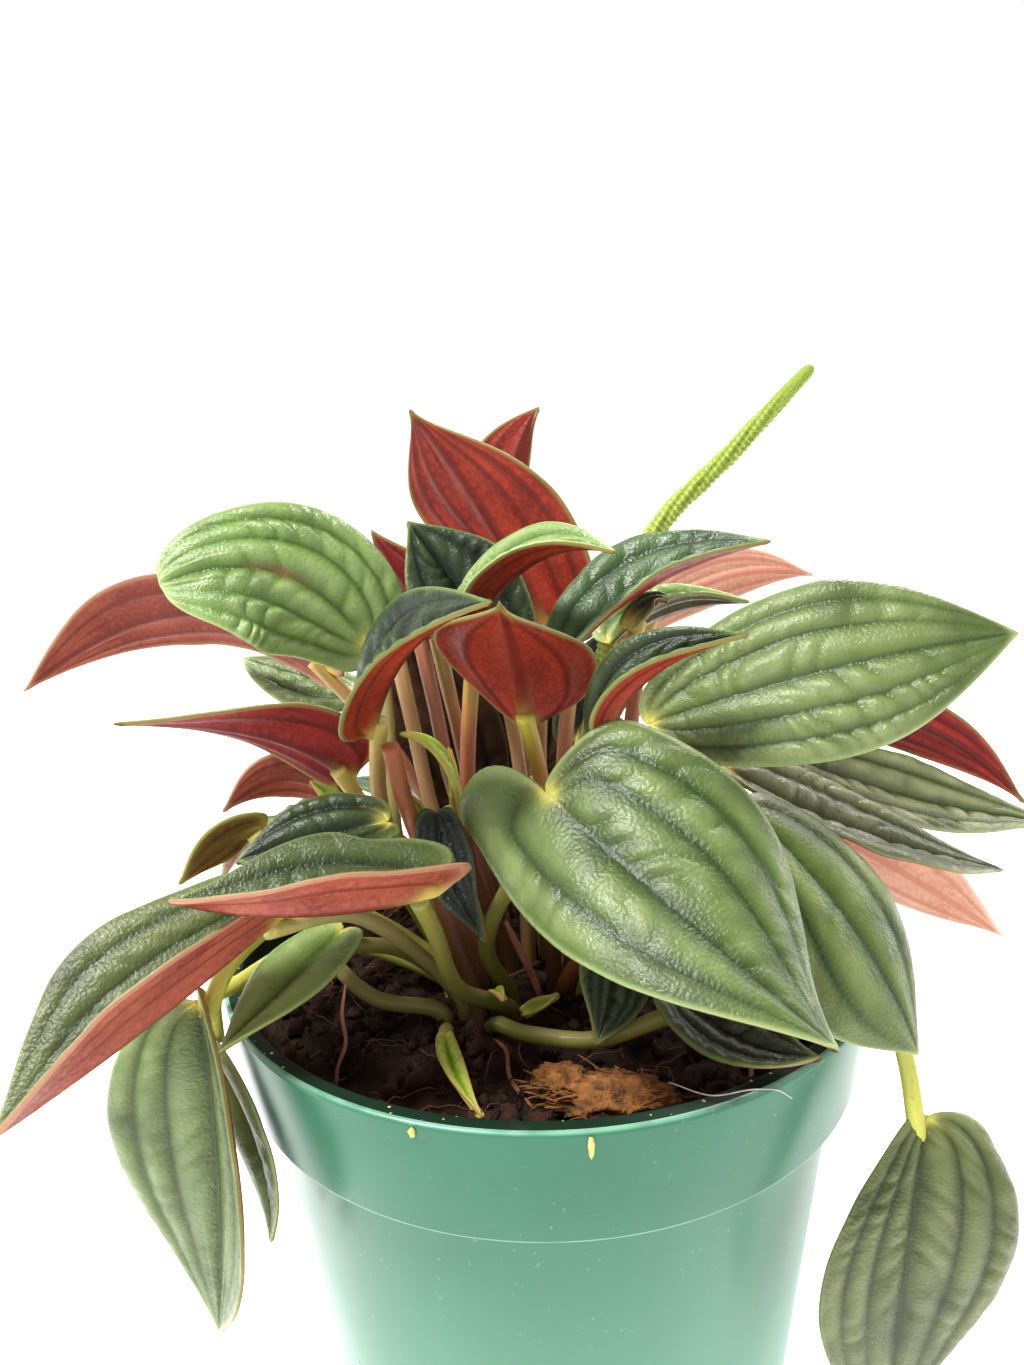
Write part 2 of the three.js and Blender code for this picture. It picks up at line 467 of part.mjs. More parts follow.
// The spike: a smooth stalk, then rings of blunt florets in alternate places, to a narrow tip.
function spikeMesh() {
  const [x, y] = SPIKE_ROOT;
  const foot = new THREE.Vector3(x, y, SOIL_LEVEL - STEM_DEPTH);
  const free = new THREE.Vector3(x, y, SOIL_LEVEL + STEM_FREE);
  const path = new THREE.CatmullRomCurve3([foot, free, ...SPIKE_POINTS.map(point)], false, "centripetal");
  const frames = path.computeFrenetFrames(SPIKE_RINGS, false);
  const points = [];
  for (let ring = 0; ring <= SPIKE_RINGS; ring += 1) {
    const along = ring / SPIKE_RINGS;
    const centre = path.getPointAt(along);
    const taper = Math.min(1, (1 - along) / (1 - SPIKE_BARE));
    const radius = along < SPIKE_BARE
      ? PETIOLE_RADIUS
      : SPIKE_TIP_RADIUS + (SPIKE_RADIUS - SPIKE_TIP_RADIUS) * taper ** SPIKE_TAPER;
    for (let side = 0; side < SPIKE_SIDES; side += 1) {
      const angle = (side / SPIKE_SIDES) * 2 * Math.PI;
      const bump = along < SPIKE_BARE ? 0 : SPIKE_BUMP * ((ring + side) % 2 === 0 ? 1 : -1);
      const spoke = frames.normals[ring].clone().multiplyScalar((radius + bump) * Math.cos(angle));
      spoke.addScaledVector(frames.binormals[ring], (radius + bump) * Math.sin(angle));
      points.push(centre.clone().add(spoke));
    }
  }
  const start = points.push(path.getPointAt(0)) - 1;
  const end = points.push(path.getPointAt(1).addScaledVector(path.getTangentAt(1), SPIKE_TIP_RADIUS)) - 1;
  const index = [];
  for (let side = 0; side < SPIKE_SIDES; side += 1) {
    const next = (side + 1) % SPIKE_SIDES;
    for (let ring = 0; ring < SPIKE_RINGS; ring += 1) {
      const low = ring * SPIKE_SIDES;
      const high = low + SPIKE_SIDES;
      index.push(low + side, low + next, high + next, low + side, high + next, high + side);
    }
    const top = SPIKE_RINGS * SPIKE_SIDES;
    index.push(start, next, side, end, top + side, top + next);
  }
  const mesh = new THREE.Mesh(new THREE.BufferGeometry().setFromPoints(points).setIndex(index), limeGreen);
  mesh.name = "flower_spike";
  return mesh;
}

// The inside of the pot's wall at a height above its floor.
function potInnerRadius(height) {
  const bandFoot = POT_HEIGHT - BAND_HEIGHT + POT_WALL;
  const bandInner = BAND_FOOT_RADIUS - POT_WALL;
  const rimInner = RIM_RADIUS - LIP_WIDTH;
  if (height >= bandFoot) {
    return bandInner + ((rimInner - bandInner) * (height - bandFoot)) / (POT_HEIGHT - bandFoot);
  }
  const slope = (BODY_TOP_RADIUS - BASE_RADIUS) / (POT_HEIGHT - BAND_HEIGHT);
  return BASE_RADIUS + slope * height - POT_WALL;
}

function potMesh() {
  const bandFoot = POT_HEIGHT - BAND_HEIGHT;
  const profile = [
    [0, 0],
    [BASE_RADIUS - EDGE_EASE, 0],
    [BASE_RADIUS, EDGE_EASE],
    [BODY_TOP_RADIUS, bandFoot],
    [BAND_FOOT_RADIUS, bandFoot],
    [RIM_RADIUS, POT_HEIGHT - EDGE_EASE],
    [RIM_RADIUS - EDGE_EASE, POT_HEIGHT],
    [RIM_RADIUS - LIP_WIDTH, POT_HEIGHT],
    [potInnerRadius(bandFoot + POT_WALL), bandFoot + POT_WALL],
    [potInnerRadius(bandFoot - POT_WALL), bandFoot - POT_WALL],
    [potInnerRadius(BASE_THICKNESS), BASE_THICKNESS],
    [0, BASE_THICKNESS],
  ];
  let pot = solidOf(lathe(profile, POT_SIDES));
  for (let i = 0; i < DRAIN_HOLES; i += 1) {
    const angle = (i / DRAIN_HOLES) * 2 * Math.PI;
    const x = DRAIN_CIRCLE * Math.cos(angle);
    const y = DRAIN_CIRCLE * Math.sin(angle);
    const hole = uprightPrism(DRAIN_SIDES, DRAIN_RADIUS, x, y, -OVERCUT, BASE_THICKNESS + OVERCUT);
    pot = pot.subtract(solidOf(hole));
  }
  const mesh = new THREE.Mesh(geometryOf(pot), potPlastic);
  mesh.name = "pot";
  return mesh;
}

function soilRelief(x, y) {
  const broad = Math.sin(BROAD_WAVE[0] * x + WAVE_START) * Math.cos(BROAD_WAVE[1] * y);
  const fine = Math.sin(FINE_WAVE[0] * x + FINE_WAVE[1] * y);
  return SOIL_BUMP * (broad + FINE_SHARE * fine);
}

function soilMesh(roots) {
  const bandFoot = POT_HEIGHT - BAND_HEIGHT;
  const bottom = BASE_THICKNESS + SOIL_GAP;
  const edge = potInnerRadius(SOIL_LEVEL) - SOIL_GAP;
  const profile = [
    [0, bottom],
    [potInnerRadius(bottom) - SOIL_GAP, bottom],
    [potInnerRadius(bandFoot - POT_WALL) - SOIL_GAP, bandFoot - POT_WALL],
    [potInnerRadius(bandFoot + POT_WALL) - SOIL_GAP, bandFoot + POT_WALL + SOIL_GAP],
  ];
  for (let ring = SOIL_RINGS; ring >= 0; ring -= 1) {
    profile.push([(edge * ring) / SOIL_RINGS, SOIL_LEVEL]);
  }
  const body = lathe(profile, SOIL_SIDES);
  const position = body.getAttribute("position");
  for (let i = 0; i < position.count; i += 1) {
    if (Math.abs(position.getZ(i) - SOIL_LEVEL) < WELD) {
      position.setZ(i, SOIL_LEVEL + soilRelief(position.getX(i), position.getY(i)));
    }
  }
  let soil = solidOf(body);
  roots.forEach(([x, y]) => {
    const bottomOfHole = SOIL_LEVEL - HOLE_DEPTH;
    const hole = uprightPrism(PETIOLE_SIDES, HOLE_RADIUS, x, y, bottomOfHole, SOIL_LEVEL + OVERCUT);
    soil = soil.subtract(solidOf(hole));
  });
  const mesh = new THREE.Mesh(geometryOf(soil), soilPeat);
  mesh.name = "soil";
  return mesh;
}

const plant = new THREE.Group();
const roots = [...LEAVES.map((leaf) => leaf.root), CUT_STALK.root, SPIKE_ROOT];
plant.add(potMesh());
plant.add(soilMesh(roots));
plant.add(...LEAVES.map(leafMesh));
plant.add(cutStalkMesh());
plant.add(spikeMesh());

export default plant;
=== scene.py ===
import math

import bmesh
import bpy
import numpy as np
from mathutils import Matrix, Vector


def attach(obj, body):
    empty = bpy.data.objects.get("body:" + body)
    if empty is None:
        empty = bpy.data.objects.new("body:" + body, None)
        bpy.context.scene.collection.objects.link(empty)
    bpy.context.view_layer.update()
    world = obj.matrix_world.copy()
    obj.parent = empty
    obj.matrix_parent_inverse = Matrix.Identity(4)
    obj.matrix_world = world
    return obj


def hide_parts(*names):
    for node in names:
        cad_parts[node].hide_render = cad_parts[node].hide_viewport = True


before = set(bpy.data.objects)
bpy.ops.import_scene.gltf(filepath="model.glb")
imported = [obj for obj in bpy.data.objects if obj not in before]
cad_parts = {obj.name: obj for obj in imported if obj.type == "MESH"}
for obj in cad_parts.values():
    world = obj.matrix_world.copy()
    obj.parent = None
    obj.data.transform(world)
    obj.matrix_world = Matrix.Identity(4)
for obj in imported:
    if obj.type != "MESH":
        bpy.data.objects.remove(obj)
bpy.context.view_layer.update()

MM = 0.001
DEG = math.pi / 180
TURN = 2 * math.pi
rng = np.random.default_rng(20)

# Pot and soil, as in the part's source
POT_HEIGHT = 92
RIM_RADIUS = 52.5
BAND_HEIGHT = 17.5
BAND_FOOT_RADIUS = 49.7
BODY_TOP_RADIUS = 46.8
BASE_RADIUS = 37.6
POT_WALL = 1.5
LIP_WIDTH = 2.9
BASE_THICKNESS = 2
DRAIN_HOLES = 6
DRAIN_RADIUS = 4
DRAIN_CIRCLE = 26
SOIL_LEVEL = 84
SOIL_GAP = 0.5
STEM_DEPTH = 5.2
STEM_FREE = 1.2

# Leaves, as in the part's source
BLADE_THICKNESS = 0.7
PETIOLE_RADIUS = 1.3
LOBE_AT = 0.07
LOBE = 0.1
WIDE = 0.38
FULL = 0.6
SHARP = 0.4
CURL = -10
NOTCH = (0.03, 1)
TAPER = 0.12
JOIN_REACH = (0.8, 2)
JOIN_DROP = (0.45, 0.85)

# Flower spike, as in the part's source
SPIKE_RADIUS = 1.7
SPIKE_TIP_RADIUS = 0.8
SPIKE_BARE = 0.42
SPIKE_TAPER = 0.7

# Finer blade grids: rows along the midrib, columns across, and ribs in each half
LARGE = dict(rows=116, columns=76, ribs=3)
MEDIUM = dict(rows=78, columns=50, ribs=2)
SMALL = dict(rows=46, columns=32, ribs=2)
TINY = dict(rows=24, columns=16, ribs=1)


def entry(name, grid, look, base, mid, tip, half, face, fold, root, stalk=(), **more):
    """One leaf. Its midrib runs from base through mid to tip, half is how wide each half is, face
    is the way its upper side looks, and fold is how far each half stands up. Its stem runs from the
    root in the soil to the base, through the stalk's points, which are listed from the top down.
    The look names the tones of the upper side, the underside and the stem."""
    names = dict(name=name, grid=grid, look=look, root=root, stalk=stalk)
    return dict(names, base=base, mid=mid, tip=tip, half=half, face=face, fold=fold, **more)


# Shapes as in the part's source. A pair holds the left and the right half. Curl bends a half up, or
# down below 0, lobe draws its base back, wide is where it is widest, a higher full narrows both of
# its ends, and a higher sharp its tip. Notch opens the base, droop lowers the tip and face_tip turns
# it. Ribs, ridge and relief say how many ribs a half has, how high they are and how strongly they
# pucker, and scar, burnt and heart are marks on the blade.
LEAVES = [
    entry("leaf_01", LARGE, "bright red tan", (-27, 5, 141.5), (-39.5, 1, 154), (-56.5, -4, 153.5), 13.5,
          (0, -8, 6), (8, 12), root=(-10, 1), stalk=[(-26, 10, 124.5), (-18, 4.5, 100.5)], curl=(-20, -25),
          lobe=0.12, wide=(0.5, 0.42), sharp=-0.3, scar=(0.5, 0.02, 0.13, 0.06)),
    entry("leaf_02", MEDIUM, "mid rose pink", (-36.5, 22, 134.5), (-62.5, 26, 145), (-90, 18, 133.5),
          (9.2, 8.8), (0, 8, 5), 12, root=(-9, 10), stalk=[(-24.5, 20, 117.5)], wide=(0.58, 0.42)),
    entry("leaf_03", SMALL, "grey red tan", (-33.5, 32, 128), (-44.5, 34, 131), (-55.5, 36, 134.5), (8, 6),
          (0, -3, 8), 5, root=(-8, 15), stalk=[(-21.5, 24, 112)], curl=(-40, -20), sharp=-0.1),
    entry("leaf_04", MEDIUM, "dark red tan", (-25.5, -12, 131), (-18, -22, 145), (-6, -33, 153), (8.2, 8),
          (-8, -7, 6), (20, 60), root=(-14.3, -0.6), stalk=[(-25, -7, 118), (-19.5, -4, 98)],
          lobe=(0.06, 0.02), wide=(0.42, 0.3)),
    entry("leaf_05", MEDIUM, "bright red orange", (-11.5, -2, 142), (-1, -6, 154.5), (11.5, -14, 158),
          (8.5, 6.5), (-3, -1, 8), (38, 44), root=(-6, 3), stalk=[(-11.5, 0, 122.5), (-12, 2, 104.5)],
          wide=0.34, droop=1.5),
    entry("leaf_06", MEDIUM, "mid red orange", (-2, -11, 131), (-3, -17, 142), (-5, -26, 152), (12.3, 13.5),
          (0, 5, 8), 18, root=(1, -4), stalk=[(0.5, -8, 118)], curl=15, lobe=0.04, wide=(0.26, 0.5),
          full=0.9, sharp=0.8),
    entry("leaf_07", LARGE, "mid red tan", (4, 18, 138.5), (-7.5, 24, 161), (-19.5, 26, 179), (13, 12.6),
          (1, 8, 3), 20, root=(0, 7), stalk=[(0.5, 14, 118)], wide=(0.34, 0.64), sharp=0.7),
    entry("leaf_08", SMALL, "mid red pink", (-5, 34, 151.5), (-2, 38, 167.5), (3.5, 40, 179), (3.5, 10.5),
          (2, 8, 3), 25, root=(-2, 14), stalk=[(-2.5, 26, 114.5)]),
    entry("leaf_09", MEDIUM, "night red pink", (4.5, -4, 140.5), (19, 2, 149.9), (37, 0, 156), (10, 9),
          (-2, -2, 8), (36, 38), root=(4, 4), stalk=[(3.5, 2, 114.5)], wide=(0.45, 0.4), lobe=(0.06, 0.1),
          relief=0.7, ridge=0.8),
    entry("leaf_10", MEDIUM, "dark red tan", (-4.5, 8, 138), (-13, 12, 150.5), (-20, 14, 160.5), 10,
          (2, -8, 3), 22, root=(-3, 4), stalk=[(-3, 8, 116.5)]),
    entry("leaf_11", SMALL, "mid wine pink", (-14, 12, 138.5), (-20.5, 16, 148.5), (-26.5, 18, 159), 7,
          (2, 8, 3), 15, root=(-7, 6), stalk=[(-12, 12, 115.5)]),
    entry("leaf_12", MEDIUM, "mid salmon pink", (20.5, 30, 139.5), (38, 34, 146.5), (54, 34, 146), (5.5, 6),
          (0, 9, 2), 10, root=(5, 12), stalk=[(10, 22, 115)]),
    entry("leaf_13", MEDIUM, "bright moss tan", (13, 10, 139), (24, 14.5, 143.5), (37.5, 15, 144.5),
          (6.5, 8), (-1, -1, 8), (38, 42), root=(2.5, 9.5), stalk=[(9, 10, 119)]),
    entry("leaf_14", SMALL, "dark wine pink", (15, 2, 143), (19, 3.5, 146.5), (21.5, 2, 147), 3, (0, -2, 8),
          20, root=(6, 7.5), stalk=[(9, 5, 119)]),
    entry("leaf_15", LARGE, "grey red tan", (16.5, -10, 130), (41, -18, 139), (66.5, -20, 143.5),
          (14.5, 13), (0, -8, 6), (8, 6), root=(7, 0), stalk=[(11, -4, 108)], curl=(-18, -25), lobe=0.07,
          wide=(0.47, 0.48), sharp=0.25, relief=1.1, ridge=0.85),
    entry("leaf_16", MEDIUM, "dark red pink", (8.5, -20, 131), (15.5, -20, 140), (28.5, -22, 145.5),
          (7, 5.5), (-3, 1, 8), (42, 52), root=(4, -3), stalk=[(5.5, -10, 113.5)], lobe=(0.1, 0.04),
          face_tip=(0, -5, 7)),
    entry("leaf_17", LARGE, "front red olive", (0.5, -26, 125), (16, -46, 115), (30.5, -58, 105), (20, 14),
          (-1, -9, 3), (4, 6), root=(-6, -9), stalk=[(-5, -22, 111), (-9.5, -14, 96.5)], curl=(-20, -32),
          lobe=(0.1, 0.33), wide=(0.36, 0.22), full=0.5, notch=(0.045, 2), ribs=(3, 2), relief=(0.78, 0.35),
          ridge=(0.6, 0.5), face_tip=(7, -4, 10.5)),
    entry("leaf_18", MEDIUM, "deep red olive", (29.5, -17.5, 118.5), (41.5, -28.5, 105), (49.5, -34, 88),
          (13, 14), (4, -6, 7), 5, root=(6, -6), stalk=[(15, -8, 104)], curl=(-25, -35), wide=(0.42, 0.62),
          relief=0.35, ridge=0.6),
    entry("leaf_19", MEDIUM, "silver wine pink", (29.5, -3, 120.5), (49.5, -7, 110), (73, -7, 103),
          (9, 9.6), (0, 0, 8), (36, 10), root=(8, 3), stalk=[(16, 0, 109.5)], wide=(0.38, 0.6), burnt=0.93,
          relief=0.8, ridge=0.8),
    entry("leaf_20", MEDIUM, "silver wine pink", (40, 10, 119.5), (65.5, 10.5, 109), (89.5, 8.5, 104.5),
          (9, 10), (0, -3, 8), (25, 15), root=(9, 6), stalk=[(18.5, 6, 112.5)], relief=1.2, ridge=0.7),
    entry("leaf_21", MEDIUM, "mid wine pink", (47, 18, 125.5), (70.5, 18, 119.5), (86.5, 14, 106), (7, 5.2),
          (0, 9, 3), 15, root=(9, 9.5), stalk=[(21.5, 14, 117)]),
    entry("leaf_22", MEDIUM, "mid salmon pink", (42, 14, 108.5), (64, 10, 95.5), (80, 6, 85), 8, (3, 9, 3),
          10, root=(10, 0), stalk=[(21, 10, 102)]),
    entry("leaf_23", LARGE, "olive red lemon", (51, -33.5, 78.2), (46.3, -40, 59.6), (45.2, -38, 28.9),
          (15.5, 11.3), (0, -9, 1), 10, root=(9, -3),
          stalk=[(48.6, -31.5, 86), (46.5, -29.5, 93.5), (42, -27.5, 96), (24, -12, 90)], curl=-25,
          lobe=(0.13, 0.06), wide=(0.37, 0.6), relief=0.7, ridge=0.8),
    entry("leaf_24", LARGE, "olive rose cream", (-38, -26, 109.5), (-52.5, -42, 102), (-66.5, -54, 96),
          (13, 14.5), (0, 0, 8), (58, 48), root=(-13.5, -10.5), stalk=[(-29, -18, 105), (-19, -12, 94)],
          curl=(-10, -20), wide=0.42, lobe=(0.1, 0.12), relief=0.4, ridge=0.5),
    entry("leaf_25", MEDIUM, "dusk rose olive", (-16, -32, 114.5), (-32.5, -38, 115), (-47.5, -40, 118.5),
          (8.5, 11), (0, 0, 8), (56, 44), root=(-6, -13), stalk=[(-16, -28, 106.5), (-13.5, -22, 94.5)],
          lobe=0.2, relief=0.3, ridge=0.5),
    entry("leaf_26", MEDIUM, "dark red tan", (-23, -16, 118.5), (-34.5, -20, 117.5), (-44.2, -22.2, 115.9),
          (7, 7.5), (0, -3, 8), (20, 25), root=(-12, -5), stalk=[(-20.5, -12.5, 112.5), (-16, -8.5, 98)],
          curl=-20, relief=0.7),
    entry("leaf_27", MEDIUM, "mid wine tan", (-29.5, -6, 122.5), (-42, -8, 130.5), (-63.5, -10, 134),
          (9, 5), (0, 9, 2), 10, root=(-14, 3.5), stalk=[(-24.5, -2, 109.5)], wide=0.28, lobe=0.04,
          face_tip=(0, 3, 8)),
    entry("leaf_28", SMALL, "mid rose cream", (-33.5, 6, 115.5), (-43, 4, 120), (-52.5, 2, 115), 5,
          (0, 9, 3), 15, root=(-13.5, 8), stalk=[(-24.5, 6, 103.5)]),
    entry("leaf_29", SMALL, "mid umber cream", (-43.5, -8, 116), (-49, -12, 114.5), (-55.5, -14, 109.5),
          (4, 5), (-2, 8, 5), 15, root=(-17, -12.5),
          stalk=[(-37.5, -8, 102.5), (-34.5, -8, 93), (-27.5, -12, 88)]),
    entry("leaf_30", SMALL, "black wine pink", (-15.8, -15.5, 119.5), (-14, -20, 112), (-9, -26, 103.5),
          (4.6, 4), (-1, -8, 2), 20, root=(-10.5, -8.5), stalk=[(-15.5, -12, 113)], ribs=3, heart=0),
    entry("leaf_31", SMALL, "dark wine orange", (9.5, -22, 102), (8.5, -27, 96), (5.5, -32, 90.5), 5.5,
          (1, -8, 3), 15, root=(2, -8), stalk=[(7.5, -16, 98)], ribs=3),
    entry("leaf_32", SMALL, "bright moss olive", (-31.5, -12, 100), (-38, -24, 97.5), (-44, -39, 96.5), 6,
          (0, -3, 8), (15, 10), root=(-15, -7), stalk=[(-23, -10, 95)], ribs=1, relief=0.4),
    entry("leaf_33", LARGE, "fresh red lemon", (-49, -30, 98.5), (-47.5, -34, 76), (-52.5, -28, 42.5),
          (10.5, 15.5), (0, -9, 1), (40, 5), root=(-17, 1), stalk=[(-45.5, -24, 101.5), (-35, 1, 98)],
          curl=(40, -20), wide=(0.6, 0.38), relief=0.6),
    entry("leaf_34", SMALL, "fresh red lemon", (-51.5, -23.5, 90), (-43.5, -27.5, 74.5), (-44, -26, 56), 5,
          (-6, -7, 1), 20, root=(-16.5, -3),
          stalk=[(-49.5, -21, 94.5), (-46.5, -19.5, 95.5), (-37, -4, 94)], ribs=1),
    entry("leaf_35", SMALL, "dark wine olive", (17, -28, 96), (24.5, -38, 94), (32.5, -45, 96), 6,
          (0, -3, 8), 20, root=(-9, -17), stalk=[(5.5, -28, 89), (-4, -24, 88)]),
    entry("leaf_36", SMALL, "mid red pink", (14, 32, 110), (24, 50, 110), (32, 66, 98), 10, (2, 3, 8), 15,
          root=(4, 15), stalk=[(8, 22, 101)]),
    entry("leaf_37", SMALL, "mid red pink", (-2, 34, 104), (-4, 52, 103), (-6, 68, 88), 10, (0, 3, 8), 12,
          root=(-3, 19), stalk=[(-2, 26, 98)]),
    entry("leaf_38", SMALL, "mid red pink", (-22, 30, 107), (-34, 44, 106), (-44, 58, 94), 10, (-3, 3, 8),
          14, root=(-12, 17), stalk=[(-16, 24, 98)]),
    entry("leaf_39", SMALL, "mid red pink", (-34, 20, 105), (-50, 27, 104), (-64, 34, 90), 9, (-3, 2, 8),
          14, root=(-15, 12), stalk=[(-24, 16, 97)]),
    entry("leaf_40", SMALL, "mid red pink", (34, 26, 108), (50, 36, 105), (62, 46, 92), 9, (3, 2, 8), 14,
          root=(9, 13.5), stalk=[(22, 20, 100)]),
    entry("leaf_41", SMALL, "black wine pink", (7.5, 28, 117), (14, 35, 129), (21, 42, 138), 7, (0, -8, 4),
          15, root=(2.5, 20.5), stalk=[(4.5, 26, 100)]),
    entry("leaf_42", SMALL, "shade wine tan", (-12, 21, 109), (-17.5, 26, 124), (-23, 30, 140), (10, 10.5),
          (0, -8, 4), 15, root=(-7.5, 20.5), stalk=[(-10.5, 21, 98)], sharp=-0.1),
    entry("leaf_43", SMALL, "shade wine pink", (-1.5, 29, 111), (-0.5, 34, 124), (1.5, 38, 137), (8.5, 8),
          (0, -8, 4), 15, root=(-6.5, 24.5), stalk=[(-6.5, 26.5, 98)], sharp=0),
    entry("young_leaf", SMALL, "lime fawn lime", (-13, -7, 114.5), (-15, -9, 126), (-21, -10, 130.5),
          (4.5, 2.2), (6, 0, 3), (12, 30), root=(-9, -4), stalk=[(-12.5, -6, 104)], lime=True, ribs=1),
    entry("leaf_bud", SMALL, "lime lime lime", (-33, 0.5, 116), (-35, 0, 118.5), (-37, -0.5, 120.5), 2,
          (2, -5, 5), 25, root=(-18, 5), stalk=[(-27, 1.5, 106)], lime=True, ribs=1),
    entry("front_shoot", SMALL, "lime lime olive", (-15.5, -27, 90), (-14, -34, 89), (-10, -42, 87.5), 2,
          (0, 0, 1), 35, root=(-16, -18), lime=True, ribs=1),]

CUT_STALK_ROOT = (-11, -14)
CUT_STALK_POINTS = [(-17.4, -14, 110), (-20.5, -14.5, 121.5), (-22, -15, 130)]
SPIKE_ROOT = (1, 13)
SPIKE_POINTS = [(8, 17, 115), (11.5, 20, 129), (22, 24.5, 155), (36, 24.5, 169), (49.5, 22, 183)]

# How strongly the plant's surfaces shine
LEAF_IOR = 1.43
BACK_IOR = 1.3
STALK_IOR = 1.42

# Upper sides: valley between the ribs, body, crest of the ribs, margin
# The valley tones serve partly as painted shade, and the crest and margin tones partly as painted highlight
TOPS = {
    "bright": [(56, 82, 28), (110, 138, 66), (160, 177, 118), (180, 200, 130)],
    "mid": [(34, 52, 18), (76, 100, 50), (124, 142, 93), (146, 166, 100)],
    "grey": [(42, 60, 22), (94, 112, 56), (142, 154, 102), (164, 180, 116)],
    "silver": [(32, 38, 18), (84, 94, 54), (162, 166, 124), (168, 178, 128)],
    "front": [(32, 50, 16), (72, 92, 40), (136, 152, 94), (170, 188, 122)],
    "deep": [(30, 46, 10), (74, 94, 34), (140, 152, 92), (172, 184, 120)],
    "olive": [(40, 48, 20), (84, 94, 48), (128, 134, 88), (150, 160, 104)],
    "dusk": [(26, 36, 12), (56, 70, 30), (98, 110, 64), (134, 146, 90)],
    "night": [(26, 42, 18), (60, 86, 46), (112, 134, 90), (146, 166, 102)],
    "dark": [(10, 18, 8), (32, 46, 22), (74, 90, 56), (124, 146, 80)],
    "black": [(7, 11, 9), (17, 24, 17), (44, 54, 42), (66, 80, 52)],
    # Painted shade: a dark brown for the leaves deep in the middle, standing in for the shadow they sit in
    "shade": [(20, 13, 8), (44, 29, 18), (70, 50, 34), (84, 72, 46)],
    "fresh": [(48, 64, 28), (96, 116, 60), (138, 155, 104), (166, 183, 120)],
    "lime": [(120, 150, 34), (150, 178, 50), (180, 204, 84), (190, 150, 90)],
}
TOP_IOR = {"silver": 1.5, "dark": 1.38, "black": 1.38, "shade": 1.15}

# Undersides: body, darker patches, veins, margin
BACKS = {
    "red": [(148, 50, 32), (114, 34, 24), (86, 24, 18), (140, 130, 70)],
    "rose": [(152, 76, 58), (122, 50, 40), (100, 38, 32), (184, 136, 104)],
    "wine": [(144, 38, 32), (104, 24, 22), (76, 18, 16), (138, 116, 66)],
    # Painted light: salmon is the red underside as it glows with light shining through it from behind
    "salmon": [(236, 178, 154), (224, 154, 130), (206, 126, 104), (240, 206, 182)],
    "moss": [(74, 66, 22), (52, 46, 16), (46, 36, 14), (136, 144, 66)],
    "umber": [(112, 84, 30), (80, 60, 22), (68, 44, 18), (146, 146, 66)],
    "lime": [(146, 180, 56), (126, 160, 44), (116, 144, 44), (190, 150, 90)],
    "fawn": [(146, 104, 58), (112, 84, 40), (104, 96, 36), (178, 190, 50)],
}

# Petioles: at the root, half way, and where the blade begins
PETIOLES = {
    "pink": [(102, 70, 44), (186, 116, 86), (196, 168, 84)],
    "tan": [(122, 98, 56), (188, 142, 96), (198, 180, 92)],
    "orange": [(84, 56, 30), (180, 100, 60), (198, 186, 66)],
    "olive": [(98, 98, 36), (132, 126, 60), (150, 146, 66)],
    "cream": [(140, 132, 70), (186, 172, 112), (196, 186, 96)],
    "lemon": [(160, 158, 70), (190, 186, 80), (212, 212, 92)],
    "lime": [(124, 142, 36), (150, 176, 46), (168, 192, 60)],
}


# ---- Numbers -----------------------------------------------------------------------------------

LATTICE_SIZE = 64
LATTICE = np.random.default_rng(11).random((LATTICE_SIZE, LATTICE_SIZE))


def noise(x, y):
    """Smooth noise over a plane, from -1 to 1."""
    column, line = np.floor(x).astype(int), np.floor(y).astype(int)
    across, along = x - column, y - line
    across, along = across**2 * (3 - 2 * across), along**2 * (3 - 2 * along)

    def at(i, j):
        return LATTICE[(column + i) % LATTICE_SIZE, (line + j) % LATTICE_SIZE]

    near = at(0, 0) * (1 - across) + at(1, 0) * across
    far = at(0, 1) * (1 - across) + at(1, 1) * across
    return 2 * (near * (1 - along) + far * along) - 1


def unit(vectors):
    vectors = np.asarray(vectors, float)
    return vectors / np.maximum(np.linalg.norm(vectors, axis=-1, keepdims=True), 1e-9)


def pair(value):
    return value if isinstance(value, tuple) else (value, value)


def spline(points, step):
    """Points about a step apart on the centripetal Catmull-Rom curve through the given ones."""
    points = np.asarray(points, float)
    knots = np.vstack([2 * points[0] - points[1], points, 2 * points[-1] - points[-2]])
    path = []
    for p0, p1, p2, p3 in zip(knots, knots[1:], knots[2:], knots[3:]):
        d0, d1, d2 = (np.linalg.norm(b - a) ** 0.5 for a, b in ((p0, p1), (p1, p2), (p2, p3)))
        t1 = ((p1 - p0) / d0 - (p2 - p0) / (d0 + d1) + (p2 - p1) / d1) * d1
        t2 = ((p2 - p1) / d1 - (p3 - p1) / (d1 + d2) + (p3 - p2) / d2) * d1
        count = max(2, round(np.linalg.norm(p2 - p1) / step))
        t = np.linspace(0, 1, count, endpoint=False)[:, None]
        bend = (-3 * p1 + 3 * p2 - 2 * t1 - t2) * t**2 + (2 * p1 - 2 * p2 + t1 + t2) * t**3
        path.append(p1 + t1 * t + bend)
    path.append(points[-1:])
    return np.vstack(path)


def lengths(path):
    """How far along a path each of its points lies."""
    return np.concatenate([[0], np.cumsum(np.linalg.norm(np.diff(path, axis=0), axis=1))])


def angles(count):
    return np.linspace(0, TURN, count, endpoint=False)


def ring(radius, turn, height):
    """Points about the pot's axis, at one turn or at many."""
    return np.stack([radius * np.cos(turn), radius * np.sin(turn), height + 0 * turn], -1)


def bands(rings, sides):
    """The quads between each ring of points and the next."""
    quads = []
    for low in range(0, (rings - 1) * sides, sides):
        for side in range(sides):
            after = (side + 1) % sides
            quads.append((low + side, low + after, low + sides + after, low + sides + side))
    return quads


